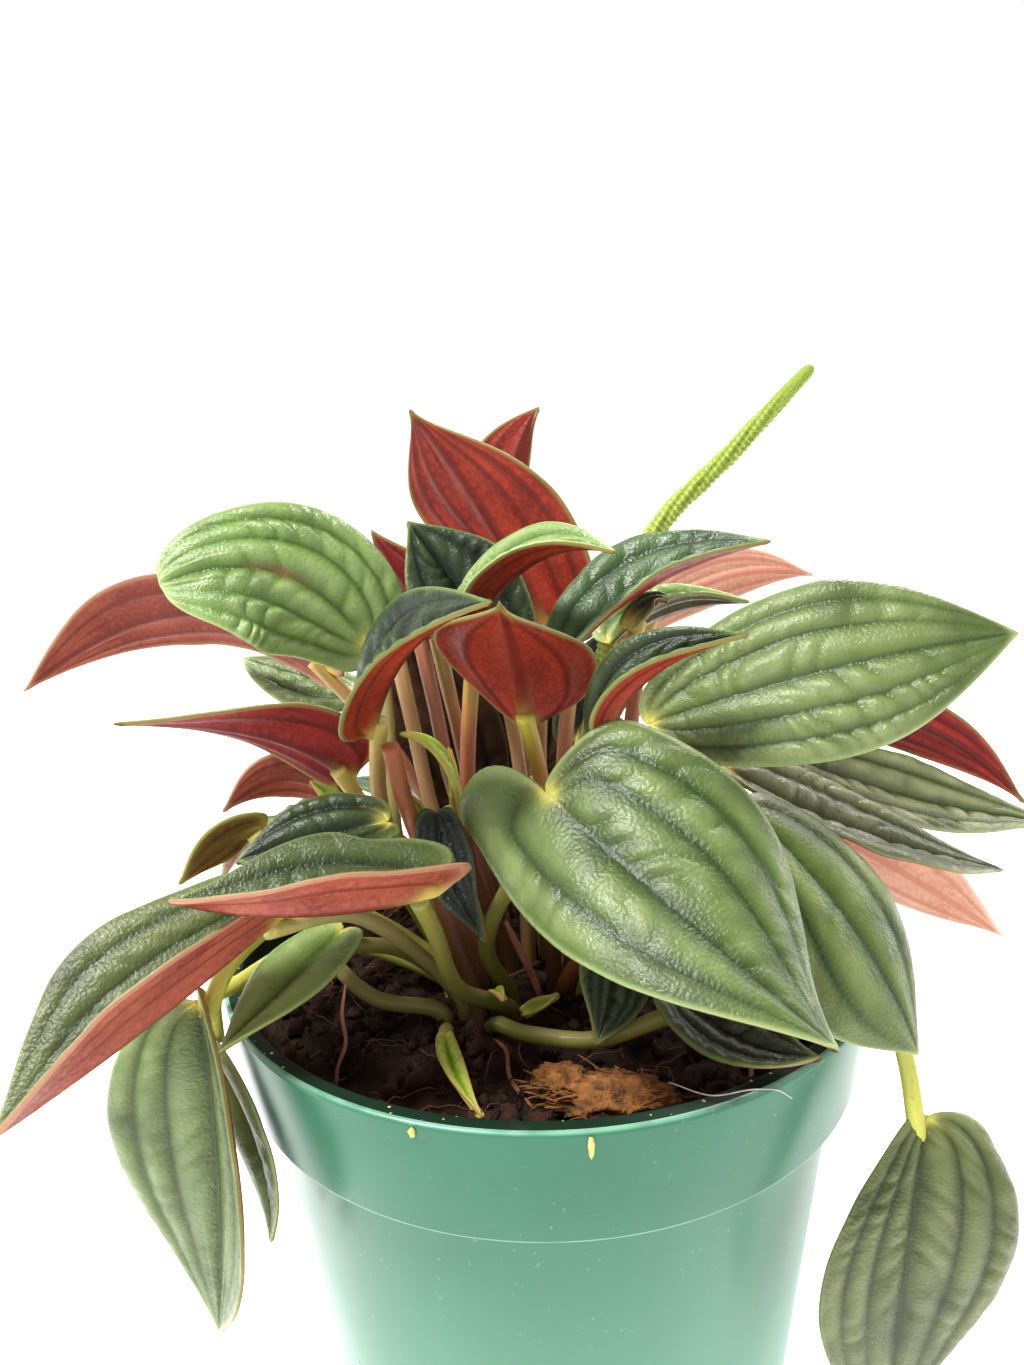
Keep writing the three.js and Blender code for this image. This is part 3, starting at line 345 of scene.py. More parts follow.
def tube(path, radii, sides):
    """Rings of points round a path, their faces with the end caps, and the ring of each point."""
    path = np.asarray(path, float)
    tangents = unit(np.gradient(path, axis=0))
    normal = unit(np.cross(tangents[0], (0.3, 1, 0.1)))
    turn = angles(sides)
    points = []
    for centre, tangent, radius in zip(path, tangents, radii):
        normal = unit(normal - tangent * np.dot(normal, tangent))
        other = np.cross(tangent, normal)
        spread = np.cos(turn)[:, None] * normal + np.sin(turn)[:, None] * other
        points.append(centre + spread * np.reshape(radius, (-1, 1)))
    rings = len(path)
    points = np.vstack([*points, path[:1], path[-1:]])
    faces = bands(rings, sides)
    start, end, top = rings * sides, rings * sides + 1, (rings - 1) * sides
    for side in range(sides):
        after = (side + 1) % sides
        faces += [(start, after, side), (end, top + side, top + after)]
    ring_of = np.concatenate([np.repeat(np.arange(rings), sides), [0, rings - 1]])
    return points, faces, ring_of


# ---- Materials ---------------------------------------------------------------------------------


def rgb(red, green, blue, strength=1.0):
    """A colour as it looks on a screen, from 0 to 255, as Blender's linear colour."""
    screen = [c / 255 for c in (red, green, blue)]
    linear = [((c + 0.055) / 1.055) ** 2.4 if c > 0.04 else c / 12.92 for c in screen]
    return (*[c * strength for c in linear], 1.0)


class Shader:
    """A new material, with short calls to fill its node tree."""

    def __init__(self, name, **settings):
        self.material = bpy.data.materials.new(name)
        self.material.use_nodes = True
        self.tree = self.material.node_tree
        self.surface = self.tree.nodes["Principled BSDF"]
        self.set(**settings)

    def set(self, **settings):
        for name, value in settings.items():
            self.put(self.surface.inputs[name.replace("_", " ")], value)

    def put(self, socket, value):
        if isinstance(value, bpy.types.NodeSocket):
            self.tree.links.new(value, socket)
        else:
            socket.default_value = value

    def add(self, kind, inputs=None, **settings):
        made = self.tree.nodes.new("ShaderNode" + kind)
        for name, value in settings.items():
            setattr(made, name, value)
        for key, value in (inputs or {}).items():
            self.put(made.inputs[key], value)
        return made

    def place(self):
        """The point's place on the object, in metres."""
        return self.add("TexCoord").outputs["Object"]

    def attribute(self, name):
        return self.add("Attribute", attribute_name=name).outputs["Vector"]

    def parts(self, vector):
        return self.add("SeparateXYZ", {0: vector}).outputs[:3]

    def maths(self, operation, *values):
        made = self.add("Math", dict(enumerate(values)), operation=operation, use_clamp=True)
        return made.outputs[0]

    def mix(self, amount, a, b):
        return self.add("Mix", {0: amount, 6: a, 7: b}, data_type="RGBA").outputs[2]

    def tint(self, colour, mask, share, other):
        """The colour, turned by at most the share into the other one where the mask is."""
        return self.mix(self.maths("MULTIPLY", mask, share), colour, other)

    def spread(self, value, low, high, to_low=0.0, to_high=1.0):
        made = self.add("MapRange", {0: value, 1: low, 2: high, 3: to_low, 4: to_high})
        return made.outputs[0]

    def between(self, mask, low, high):
        return self.spread(mask, 0.0, 1.0, low, high)

    def noise(self, vector, scale, detail=2.0, low=0.35, high=0.65):
        made = self.add("TexNoise", {"Vector": vector, "Scale": scale, "Detail": detail})
        return self.spread(made.outputs[0], low, high)

    def stretched(self, vector, scale):
        return self.add("Mapping", {"Vector": vector, "Scale": scale}).outputs[0]

    def bump(self, height, depth, strength):
        return self.add("Bump", {"Height": height, "Distance": depth, "Strength": strength}).outputs[0]

    def grain(self, vector, scale, detail, depth, strength):
        return self.bump(self.noise(vector, scale, detail, 0.2, 0.8), depth, strength)

    def done(self, colour, rough, relief):
        self.set(Base_Color=colour, Roughness=rough, Normal=relief)
        return self.material


def top_material(name, tones):
    """A leaf's upper side, darkest in the valleys between the ribs and palest on their crests."""
    valley, body, crest, margin = [rgb(*tone) for tone in tones]
    s = Shader("upper_" + name, IOR=TOP_IOR.get(name, LEAF_IOR))
    height, rim, heart = s.parts(s.attribute("form"))
    flat = s.attribute("flat")
    mottle = s.noise(flat, 0.16, 3.0, 0.3, 0.7)
    speckle = s.noise(flat, 1.8, 3.0, 0.3, 0.7)
    # Painted shade: darker in the valleys and in the creases between the puckers, partly the leaf's own
    # dark sunken veins
    level = s.maths("MULTIPLY_ADD", speckle, 0.2, s.spread(height, 0.0, 0.46, 0.04, 0.88))
    colour = s.mix(level, valley, body)
    # Painted sheen: paler on the crests and on the puckers' humps, partly the leaf's own silvery tone
    pale = s.maths("MULTIPLY", s.spread(height, 0.5, 1.15), s.between(mottle, 0.35, 1.0))
    colour = s.tint(colour, pale, 0.85, crest)
    colour = s.tint(colour, s.noise(flat, 0.45, 2.0, 0.5, 0.8), 0.25, valley)
    colour = s.tint(colour, s.noise(flat, 0.075, 2.0, 0.48, 0.7), 0.6, valley)
    # Paler at the margin, partly its own pale edge and partly a painted highlight
    colour = s.tint(colour, rim, 0.7, margin)
    colour = s.mix(heart, colour, rgb(198, 192, 92))
    scar, burnt, _ = s.parts(s.attribute("mark"))
    colour = s.mix(scar, colour, rgb(120, 92, 52))
    colour = s.mix(burnt, colour, rgb(26, 20, 16))
    rough = s.between(s.noise(flat, 0.3, 3.0), 0.25, 0.4)
    return s.done(colour, rough, s.grain(flat, 1.9, 4.0, 0.0002, 0.6))


def back_material(name, tones):
    """A leaf's underside, with dark veins and a faint net between them."""
    body, patch, vein, margin = [rgb(*tone) for tone in tones]
    s = Shader("under_" + name, IOR=BACK_IOR)
    height, rim, heart = s.parts(s.attribute("form"))
    flat = s.attribute("flat")
    colour = s.mix(s.noise(flat, 0.11, 3.0, 0.4, 0.7), body, patch)
    warped = s.mix(0.35, flat, s.add("TexNoise", {"Vector": flat, "Scale": 0.4}).outputs[1])
    cells = {"Vector": warped, "Scale": 0.5}
    net = s.add("TexVoronoi", cells, feature="DISTANCE_TO_EDGE").outputs[0]
    colour = s.mix(s.spread(net, 0.07, 0.0, 0.0, 0.35), colour, vein)
    lit = rgb(*[min(255, c * 1.22 + 10) for c in tones[0]])
    colour = s.tint(colour, s.noise(flat, 1.3, 4.0, 0.45, 0.75), 0.4, lit)
    colour = s.mix(s.spread(height, 0.34, 0.0, 0.0, 0.8), colour, vein)
    colour = s.tint(colour, rim, 0.8, margin)
    colour = s.mix(heart, colour, rgb(188, 172, 76))
    rough = s.between(s.noise(flat, 0.5, 3.0), 0.34, 0.5)
    return s.done(colour, rough, s.grain(flat, 1.3, 4.0, 0.00016, 0.5))


def petiole_material(name, tones):
    low, middle, high = [rgb(*tone, 0.9) for tone in tones]
    s = Shader("stalk_" + name, IOR=STALK_IOR)
    along = s.parts(s.attribute("form"))[0]
    flat = s.attribute("flat")
    colour = s.mix(s.spread(along, 0.22, 0.74), low, middle)
    colour = s.mix(s.spread(along, 0.74, 0.98), colour, high)
    streak = s.noise(s.stretched(flat, (1.2, 0.12, 1.0)), 1.1, 3.0)
    colour = s.tint(colour, streak, 0.35, low)
    colour = s.tint(colour, s.noise(flat, 1.7, 3.0, 0.62, 0.75), 0.35, rgb(110, 50, 30, 0.75))
    rough = s.between(s.noise(flat, 0.6), 0.32, 0.5)
    return s.done(colour, rough, s.grain(flat, 1.4, 3.0, 0.0001, 0.5))


TOP_MATERIALS = {name: top_material(name, tones) for name, tones in TOPS.items()}
BACK_MATERIALS = {name: back_material(name, tones) for name, tones in BACKS.items()}
PETIOLE_MATERIALS = {name: petiole_material(name, tones) for name, tones in PETIOLES.items()}


def pot_material():
    s = Shader("pot_plastic", IOR=1.43)
    place = s.place()
    height = s.parts(place)[2]
    foot, top = (POT_HEIGHT - BAND_HEIGHT) * MM, POT_HEIGHT * MM
    band = s.mix(s.noise(place, 45.0, 2.0, 0.1, 0.9), rgb(44, 139, 99, 0.44), rgb(58, 155, 117, 0.48))
    body = s.mix(s.spread(height, 0.074, 0.02), rgb(78, 158, 122, 0.45), rgb(118, 194, 158, 0.5))
    colour = s.mix(s.spread(height, foot - 0.0002, foot + 0.0002), body, band)
    # Painted highlight: the band's two edges are lightened in broken patches, as light caught on their rims
    above, below = s.spread(height, foot, foot + 0.0001), s.spread(height, foot + 0.0005, foot + 0.0003)
    low_edge, top_edge = s.maths("MULTIPLY", above, below), s.spread(height, top - 0.0004, top - 0.0001)
    painted_edge_highlight = s.maths("MULTIPLY", s.maths("MAXIMUM", low_edge, top_edge), s.noise(place, 200.0, 3.0, 0.1, 0.6))
    colour = s.tint(colour, painted_edge_highlight, 0.6, rgb(150, 204, 174))
    cloud = s.maths("MULTIPLY", s.noise(place, 60.0, 3.0, 0.4, 0.9), 0.5)
    colour = s.tint(colour, s.noise(place, 900.0, 2.0, 0.68, 0.76), cloud, rgb(196, 214, 196))
    rough = s.between(s.noise(place, 70.0, 3.0, 0.0, 1.0), 0.22, 0.38)
    scratch = s.noise(s.stretched(place, (1.0, 1.0, 14.0)), 160.0, 3.0, 0.0, 1.0)
    return s.done(colour, rough, s.bump(scratch, 0.00004, 0.3))


def pot_inner_shade_material():
    """The lip and the inside: the plastic darkened as painted shade, with smears of soil."""
    s = Shader("pot_inner", IOR=1.2)
    place = s.place()
    # Painted shade: a dark teal for the lip and the inner wall
    colour = s.mix(s.noise(place, 60.0, 3.0, 0.3, 0.7), rgb(18, 48, 34, 0.5), rgb(34, 66, 46, 0.55))
    smear = s.noise(s.stretched(place, (1.0, 1.0, 0.4)), 240.0, 3.0, 0.6, 0.75)
    colour = s.tint(colour, smear, 0.5, rgb(58, 46, 32))
    return s.done(colour, s.between(smear, 0.4, 0.7), s.grain(place, 500.0, 3.0, 0.00006, 0.4))


def earth_material(name, dark, light, scale, rough=0.9, strength=1.0):
    """A crumbly brown, for peat, crumbs and husk."""
    s = Shader(name, IOR=1.35)
    place = s.place()
    tone = s.parts(s.attribute("form"))[0]
    mottle = s.noise(place, scale, 4.0, 0.32, 0.68)
    shade = s.maths("MULTIPLY_ADD", mottle, 0.6, s.maths("MULTIPLY", tone, 0.4))
    colour = s.mix(shade, rgb(*dark), rgb(*light))
    return s.done(colour, rough, s.grain(place, scale * 3, 4.0, 0.0004, strength))


def plain_material(name, dark, light, scale, rough, stretch=(1, 1, 1)):
    """A mottled tone, for the small things."""
    s = Shader(name, IOR=STALK_IOR)
    place = s.stretched(s.place(), stretch)
    colour = s.mix(s.noise(place, scale, 3.0), rgb(*dark, 0.8), rgb(*light, 0.8))
    return s.done(colour, rough, s.grain(place, scale * 2, 3.0, 0.0001, 0.5))


def spike_material():
    """Lime, darker between the florets as painted shade, and paler on their tops as a painted highlight."""
    s = Shader("spike_green", IOR=STALK_IOR)
    along, floret, _ = s.parts(s.attribute("form"))
    colour = s.mix(s.spread(along, SPIKE_BARE, 1.0), rgb(196, 212, 92, 0.9), rgb(140, 164, 46, 0.85))
    colour = s.mix(s.spread(floret, 0.15, 0.7, 0.5, 0.0), colour, rgb(118, 142, 36, 0.8))
    colour = s.mix(s.spread(floret, 0.7, 1.0, 0.0, 0.6), colour, rgb(222, 232, 140, 0.95))
    colour = s.mix(s.spread(along, 0.44, 0.3), colour, rgb(150, 160, 80, 0.8))
    return s.done(colour, 0.5, s.grain(s.attribute("flat"), 2.2, 3.0, 0.0002, 0.6))


# ---- Meshes ------------------------------------------------------------------------------------
# A shape is a dict of points in millimetres, faces, the material number (tag) of each face, and the
# values that the materials read at each point: form, flat and mark.


def linked(name, data):
    """A new object in the scene."""
    made = bpy.data.objects.new(name, data)
    bpy.context.scene.collection.objects.link(made)
    return made


def piece(name, shape, materials):
    """A smooth-shaded object that rides on the part."""
    mesh = bpy.data.meshes.new(name)
    mesh.from_pydata(np.asarray(shape["points"], float) * MM, [], shape["faces"])
    for material in materials:
        mesh.materials.append(material)
    if "tags" in shape:
        mesh.polygons.foreach_set("material_index", np.asarray(shape["tags"], np.int32))
    mesh.polygons.foreach_set("use_smooth", np.ones(len(mesh.polygons), bool))
    for label in ("form", "flat", "mark"):
        if label in shape:
            layer = mesh.attributes.new(label, "FLOAT_VECTOR", "POINT")
            layer.data.foreach_set("vector", np.asarray(shape[label], np.float32).ravel())
    mesh.update()
    made = linked(name, mesh)
    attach(made, "root")
    return made


def joined(parts):
    """Several shapes with the same keys as one."""
    layers = parts[0].keys() - {"faces", "tags"}
    whole = {key: np.vstack([part[key] for part in parts]) for key in layers}
    whole.update(faces=[], tags=[])
    start = 0
    for part in parts:
        whole["faces"] += [tuple(i + start for i in face) for face in part["faces"]]
        whole["tags"] += part.get("tags", [0] * len(part["faces"]))
        start += len(part["points"])
    return whole


def toned(points, faces, tone):
    """A shape with only a tone at each point."""
    form = np.zeros((len(points), 3))
    form[:, 0] = tone
    return dict(points=points, faces=faces, form=form)


# ---- Leaves ------------------------------------------------------------------------------------

ROW_CROWDING = 1.25  # above 1, the rows stand closer towards the base
RIDGE_SHARE = 0.2  # a rib's height over its width
RIDGE_MOST = 0.85
RIB_SPREAD = 1.25  # above 1, the ribs next to the midrib are the widest
RIB_FADE = (0.55, 0.95)  # where along the blade the ribs begin and end to fade
RIB_FADED = 0.75  # the share of them that is gone by then
FADED_LEVEL = 0.62  # how high the upper side's colour stands there
RIPPLE = 0.95
RIPPLE_PITCH = (1.9, 5.0)  # the least and the most
RIPPLE_LEAN = 0.7  # how far a crease runs towards the tip, over its rib's width
RIPPLE_UNEVEN = 0.75
RIPPLE_UNEVEN_LENGTH = 6
PATCH = 1.2  # how much more some stretches of a rib are rippled than others
PATCH_LENGTH = 7
RIPPLES_END = 0.22  # the share of the length, up to the tip, over which they die away
PIMPLE = 0.03
PIMPLE_SIZE = 0.9
SWAY = 0.42
SWAY_LENGTH = 11
MARGIN_SWAY_LENGTH = 5
FULL_RELIEF = 9  # halves narrower than this are flatter
MARGIN = 0.95  # where the upper side turns down to the margin
KEEL = 0.7
KEEL_WIDTH = 0.8
VEIN_WIDTH = 0.28
RIM_WIDTH = 0.55
TIP_RIM_WIDTH = 1.2
HEART_WIDTH = 1.3
HEART_VEIN_LENGTH = 2.8
BACK_HEART_WIDTH = 1.6
BACK_VEIN = (0.5, 4)  # its width and length


def bell(distance, width):
    return np.exp(-((distance / width) ** 2))


class Midrib:
    """The midrib's curve and the leaf's own directions along it, as in the part's source."""

    def __init__(self, leaf):
        self.base, middle, self.tip = (np.array(leaf[key], float) for key in ("base", "mid", "tip"))
        self.control = 2 * middle - (self.base + self.tip) / 2
        self.face = unit(leaf["face"]), unit(leaf.get("face_tip", leaf["face"]))
        self.length = np.linalg.norm(middle - self.base) + np.linalg.norm(self.tip - middle)

    def frame(self, along):
        along = np.asarray(along, float)[..., None]
        inside = np.maximum(along, 0)
        rest = 1 - inside
        velocity = 2 * rest * (self.control - self.base) + 2 * inside * (self.tip - self.control)
        origin = rest**2 * self.base + 2 * rest * inside * self.control + inside**2 * self.tip
        origin = origin + velocity * (along - inside)
        tangent = unit(velocity)
        up = self.face[0] * (1 - along) + self.face[1] * along
        up = unit(up - tangent * np.sum(up * tangent, -1, keepdims=True))
        return origin, tangent, up, np.cross(tangent, up)


class Blade:
    """A leaf's blade as a grid of points. u runs from its base to its tip, and v from the left
    margin, -1, over the midrib to the right margin, 1."""

    def __init__(self, leaf, grid, seed):
        self.leaf, self.midrib, self.seed = leaf, Midrib(leaf), seed
        self.rows, self.columns = grid["rows"], grid["columns"]
        level = np.linspace(0, 1, self.rows + 1)[:, None]
        self.u = level**ROW_CROWDING * np.ones(self.columns + 1)
        self.v = np.ones((self.rows + 1, 1)) * np.linspace(-1, 1, self.columns + 1)
        self.out, self.sign = np.abs(self.v), np.sign(self.v)
        self.right = (self.v >= 0).astype(int)
        self.half, self.ribs = self.chosen("half"), self.chosen("ribs", grid["ribs"])
        self.lay_out()
        self.raise_ribs()
        self.pucker()

    def chosen(self, key, usual=None):
        """One of the leaf's values at each point, of the half that the point is in."""
        return np.array(pair(self.leaf.get(key, usual)), float)[self.right]

    def lay_out(self):
        """The blade's outline and bend, as in the part's source."""
        leaf, u, out = self.leaf, self.u, self.out
        wide, lobe = self.chosen("wide", WIDE), self.chosen("lobe", LOBE)
        fold, curl = self.chosen("fold") * DEG, self.chosen("curl", CURL) * DEG
        opening, power = leaf.get("notch", NOTCH)
        blunt = leaf.get("full", FULL) + (leaf.get("sharp", SHARP) + TAPER) * u
        swell = np.maximum(0, np.sin(math.pi * u ** (math.log(0.5) / np.log(wide))))
        self.breadth = swell**blunt * (1 - np.exp(-((u / opening) ** power)))
        reach = (u / LOBE_AT) * np.exp(1 - u / LOBE_AT)
        along = u - lobe * out**2 * reach
        lateral = (np.sin(fold + curl * out) - np.sin(fold)) / curl * self.breadth * self.half
        self.lift = (np.cos(fold) - np.cos(fold + curl * out)) / curl * self.breadth * self.half
        self.droop = leaf.get("droop", 0) * along**4
        origin, _, self.up, side = self.midrib.frame(along)
        self.level = origin + side * (self.sign * lateral)[..., None]
        self.run, self.arc = along * self.midrib.length, out * self.half * self.breadth

    def raise_ribs(self):
        """Broad, low ribs with narrow valleys between them, and the midrib in the deepest one."""
        self.turn = self.ribs * self.out**RIB_SPREAD
        self.number = np.minimum(np.floor(self.turn), self.ribs - 1).astype(int)
        self.across = self.turn - self.number
        ends = [(count / self.ribs) ** (1 / RIB_SPREAD) for count in (1, self.number, self.number + 1)]
        first, self.inner, self.outer = ends
        self.rib_width = self.half * (self.outer - self.inner)
        faded = np.clip((self.u - RIB_FADE[0]) / (RIB_FADE[1] - RIB_FADE[0]), 0, 1) ** 1.3
        self.fading = 1 - RIB_FADED * faded * (self.out > first / 2)
        self.wave = np.sin(math.pi * np.clip(self.across, 0, 1) ** 0.9)
        plateau = 1.2 * self.wave / (self.wave + 0.2)
        self.crest = 0.94 * self.wave + 0.06 * plateau
        height = np.minimum(RIDGE_SHARE * self.rib_width, RIDGE_MOST)
        self.ridge = height * self.breadth * self.crest * self.fading * self.chosen("ridge", 1.0)

    def pucker(self):
        """Humps with creases between them, which run out from each valley towards the tip."""
        rib = self.number + 7 * self.right + 31 * self.seed
        pitch = np.clip(0.6 * self.rib_width + 1.5, *RIPPLE_PITCH)
        step = (self.run - RIPPLE_LEAN * self.across * self.rib_width * self.breadth) / pitch
        uneven = noise(self.run / RIPPLE_UNEVEN_LENGTH + rib * 3.7, self.turn * 0.8 + rib)
        hump = np.abs(np.sin(math.pi * (step + RIPPLE_UNEVEN * uneven))) ** 0.8 - 0.62
        patch = 0.5 + PATCH * noise(self.run / PATCH_LENGTH + rib * 1.9, self.turn + 3.3 * self.seed)
        ripple = hump * np.clip(patch, 0.06, 1.2) * self.wave**0.8 * (1.05 - 0.55 * self.across)
        ripple = ripple * np.minimum(1, self.breadth * 1.15) * self.chosen("relief", 1.0)
        self.ripple = ripple * np.clip((1 - self.u) / RIPPLES_END, 0, 1)

    def sway(self):
        """Slow waves in the blade, and quicker ones along its margins."""
        run, arc, seed = self.run, self.arc, self.seed
        slow = noise(run / SWAY_LENGTH + seed, self.sign * arc / SWAY_LENGTH + 5.1 * seed)
        quick = noise(run / MARGIN_SWAY_LENGTH + 5 * seed, self.sign * 2.0 + seed)
        return slow * np.minimum(1, arc / 5) + 0.8 * quick * self.out**6

    def sides(self):
        """The points of the upper side and of the underside."""
        size = np.minimum(1, self.half / FULL_RELIEF)
        height = self.lift + self.ridge - self.droop + SWAY * size * self.sway() * self.breadth
        smooth = self.level + self.up * height[..., None]
        normal = unit(np.cross(np.gradient(smooth, axis=1), np.gradient(smooth, axis=0)))
        normal[0], normal[-1] = unit(normal[1].mean(0)), unit(normal[-2].mean(0))
        pimples = noise(self.run / PIMPLE_SIZE + 9 * self.seed, self.sign * self.arc / PIMPLE_SIZE)
        fine = RIPPLE * size * self.ripple + PIMPLE * size * pimples * self.crest
        margin = np.clip((self.out - MARGIN) / (1 - MARGIN), 0, 1) ** 2
        keel = KEEL * bell(self.arc, KEEL_WIDTH) * np.clip(1 - self.u, 0, 1) ** 2.5
        upper = smooth + normal * (fine * (1 - margin) - 0.25 * BLADE_THICKNESS * margin)[..., None]
        lower = smooth - normal * (BLADE_THICKNESS * (1 - 0.3 * margin) + keel)[..., None]
        return upper, lower

    def forms(self):
        """For each side, how high a point stands on its rib, and how near the rim and the heart."""
        gap = np.minimum(np.abs(self.out - self.inner), np.abs(self.out - self.outer))
        vein = bell(gap * self.half * self.breadth, VEIN_WIDTH) * self.fading
        to_rim, to_tip = (1 - self.out) * self.half * self.breadth, (1 - self.u) * self.midrib.length
        rim = bell(to_rim, RIM_WIDTH) + bell(to_tip, TIP_RIM_WIDTH)
        reached = np.hypot(self.arc, self.run)
        heart = bell(reached, HEART_WIDTH) + 0.5 * vein * bell(reached, HEART_VEIN_LENGTH)
        # This height, with the puckers, places the upper side's painted shade in valleys and creases and
        # its painted sheen on crests
        shown = np.clip(self.crest + 0.8 * self.ripple - 0.1 * vein, 0, 1)
        shown = shown * self.fading + FADED_LEVEL * (1 - self.fading)
        top = [shown, rim, heart * self.leaf.get("heart", 1.0)]
        vein_heart = bell(self.arc, BACK_VEIN[0]) * bell(self.run, BACK_VEIN[1])
        back = [self.crest - 0.2 * vein, rim, bell(reached, BACK_HEART_WIDTH) + 0.6 * vein_heart]
        return [np.clip(np.stack(form, -1), 0, 1) for form in (top, back)]

    def marks(self):
        """A scar and a burnt tip, where the leaf has them."""
        mark = np.zeros((*self.u.shape, 3))
        if self.leaf.get("scar"):
            at_u, at_v, length, width = self.leaf["scar"]
            offset = np.hypot((self.u - at_u) / length, (self.v - at_v) / width)
            mark[..., 0] = 0.9 * bell(offset, 1)
        if self.leaf.get("burnt"):
            edge = self.leaf["burnt"] - 0.02 * noise(self.arc, self.run)
            mark[..., 1] = np.clip((self.u - edge) / 0.02, 0, 1)
        return mark

    def faces(self):
        """The faces of both sides and of the margins between them, and which side each is on."""
        rows, columns = self.rows, self.columns
        count = 2 + (rows - 1) * (columns + 1)
        index = np.zeros((rows + 1, columns + 1), int)
        index[1:-1] = 1 + np.arange(count - 2).reshape(rows - 1, columns + 1)
        index[-1] = count - 1
        faces, tags = [], []
        for row in range(rows):
            for column in range(columns):
                a, b = index[row, column], index[row, column + 1]
                c, d = index[row + 1, column + 1], index[row + 1, column]
                corners = (a, c, d) if row == 0 else (a, b, c) if row == rows - 1 else (a, b, c, d)
                faces += [corners, tuple(i + count for i in reversed(corners))]
                tags += [0, 1]
        for above, below in zip(index[1:], index):
            for near, far in ((above[0], below[0]), (below[-1], above[-1])):
                faces.append((far, near, near + count, far + count))
                tags.append(1)
        return faces, tags

    def shape(self):
        place = np.stack([self.sign * self.arc, self.run, np.full_like(self.run, 17.3 * self.seed)], -1)
        faces, tags = self.faces()
        layers = dict(points=self.sides(), form=self.forms(), flat=[place] * 2, mark=[self.marks()] * 2)
        layers = {key: np.vstack([skin(sheet) for sheet in both]) for key, both in layers.items()}
        return dict(layers, faces=faces, tags=tags)


def skin(sheet):
    """A grid's values in one column. Its first row and its last row are one point each."""
    return np.vstack([sheet[0, :1], sheet[1:-1].reshape(-1, sheet.shape[-1]), sheet[-1, :1]])


def upright(root, points):
    """A stem's path, straight up out of the soil and then through the points."""
    return [(*root, SOIL_LEVEL - STEM_DEPTH), (*root, SOIL_LEVEL + STEM_FREE), *points]


def stem_path(leaf):
    """The path of a leaf's stem, which ends inside the blade, next to its base."""
    path = upright(leaf["root"], reversed(leaf["stalk"]))
    origin, tangent, up, _ = Midrib(leaf).frame(0.0)
    arrival = unit(origin - np.array(path[-1], float))
    level = math.sqrt(max(0, 1 - float(arrival @ up) ** 2))
    end = origin + tangent * (JOIN_REACH[0] + JOIN_REACH[1] * level)
    return [*path, end - up * (JOIN_DROP[0] + JOIN_DROP[1] * level)]


STEM_STEP = 1.1
STEM_SIDES = 14


def stem(corners, radius, seed, ripe=1.0):
    """A stem along a path. Ripe is how far its colours have changed from the root's at its top."""
    path = spline(corners, STEM_STEP)
    t = np.linspace(0, 1, len(path))
    wobble = 1 + 0.05 * noise(t * 9 + seed, np.full_like(t, seed * 1.7))
    radii = radius * wobble * (0.94 + 0.22 * (1 - t) ** 6 + 0.1 * t**8)
    points, faces, ring_of = tube(path, radii, STEM_SIDES)
    steps = lengths(path)
    around = np.concatenate([np.tile(angles(STEM_SIDES) * radius, len(path)), [0, 0]])
    flat = np.stack([around, steps[ring_of], np.full(len(points), 5.9 * seed)], -1)
    shape = toned(points, faces, steps[ring_of] / steps[-1] * ripe)
    return dict(shape, flat=flat)


def leaf_piece(leaf, seed):
    stalk = stem(stem_path(leaf), PETIOLE_RADIUS, seed)
    stalk.update(tags=[2] * len(stalk["faces"]), mark=np.zeros_like(stalk["form"]))
    shape = joined([Blade(leaf, leaf["grid"], seed).shape(), stalk])
    top, back, low = leaf["look"].split()
    materials = [TOP_MATERIALS[top], BACK_MATERIALS[back], PETIOLE_MATERIALS[low]]
    made = piece(leaf["name"] + "_fine", shape, materials)
    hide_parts(leaf["name"])


for number, leaf in enumerate(LEAVES, 1):
    leaf_piece(leaf, number)


# ---- Cut stalk and flower spike ----------------------------------------------------------------

stub = stem(upright(CUT_STALK_ROOT, CUT_STALK_POINTS), PETIOLE_RADIUS, 60, 0.7)
made = piece("cut_stalk_fine", stub, [PETIOLE_MATERIALS["orange"]])
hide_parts("cut_stalk")

# More stalks in the dense middle, whose tops are lost among the leaves: look, radius, path
BACK_STALKS = [
    ("tan", 1.3, [(-11, -1, 80), (-14.5, 1, 100), (-18.4, 3, 115.9), (-20.1, 4, 126.2),
                  (-21.6, 4, 136), (-22.6, 6, 141)]),
    ("pink", 1.3, [(-7, 5, 80), (-10.5, 6.5, 102), (-15.1, 7, 118.6), (-16.7, 8, 128.9),
                   (-18.3, 8, 139.2), (-19.6, 9.5, 146)]),
    ("pink", 1.3, [(10, 4, 80), (12, 4.5, 100), (14.2, 5, 118), (16, 5.5, 128.5), (17.2, 6.5, 138)]),
    ("cream", 1.2, [(-16, 1.5, 90), (-23.4, 0, 107.8), (-24.3, 3, 120.7), (-24.9, 6, 133.5),
                    (-26, 7.5, 138)]),
]
for number, (look, radius, path) in enumerate(BACK_STALKS):
    stalk = stem(path, radius, 61 + number, 0.8)
    piece(f"back_stalk_{number + 1}", stalk, [PETIOLE_MATERIALS[look]])

SPIKE_SIDES = 32
SPIKE_STEP = 0.32
SPIKE_START = 0.03  # over this share of its length the bare stalk turns into the spike
SPIKE_SMOOTH = 0.12  # the share, up to the tip, over which the florets grow smaller
SPIKE_ROUND = 0.015  # the share at the tip that is rounded
FLORET_HEIGHT = 0.38
FLORET_SPREAD = 0.26


def florets(steps, turn):
    """How far each point of the spike stands out, from -1 to 1: florets in two crossing spirals."""
    lumps = np.cos(4 * turn + steps * 3.3) * np.cos(3 * turn - steps * 2.6)
    return np.sign(lumps) * np.abs(lumps) ** 0.7 + 0.35 * noise(steps * 1.9 + turn * 0, turn * 3.2)


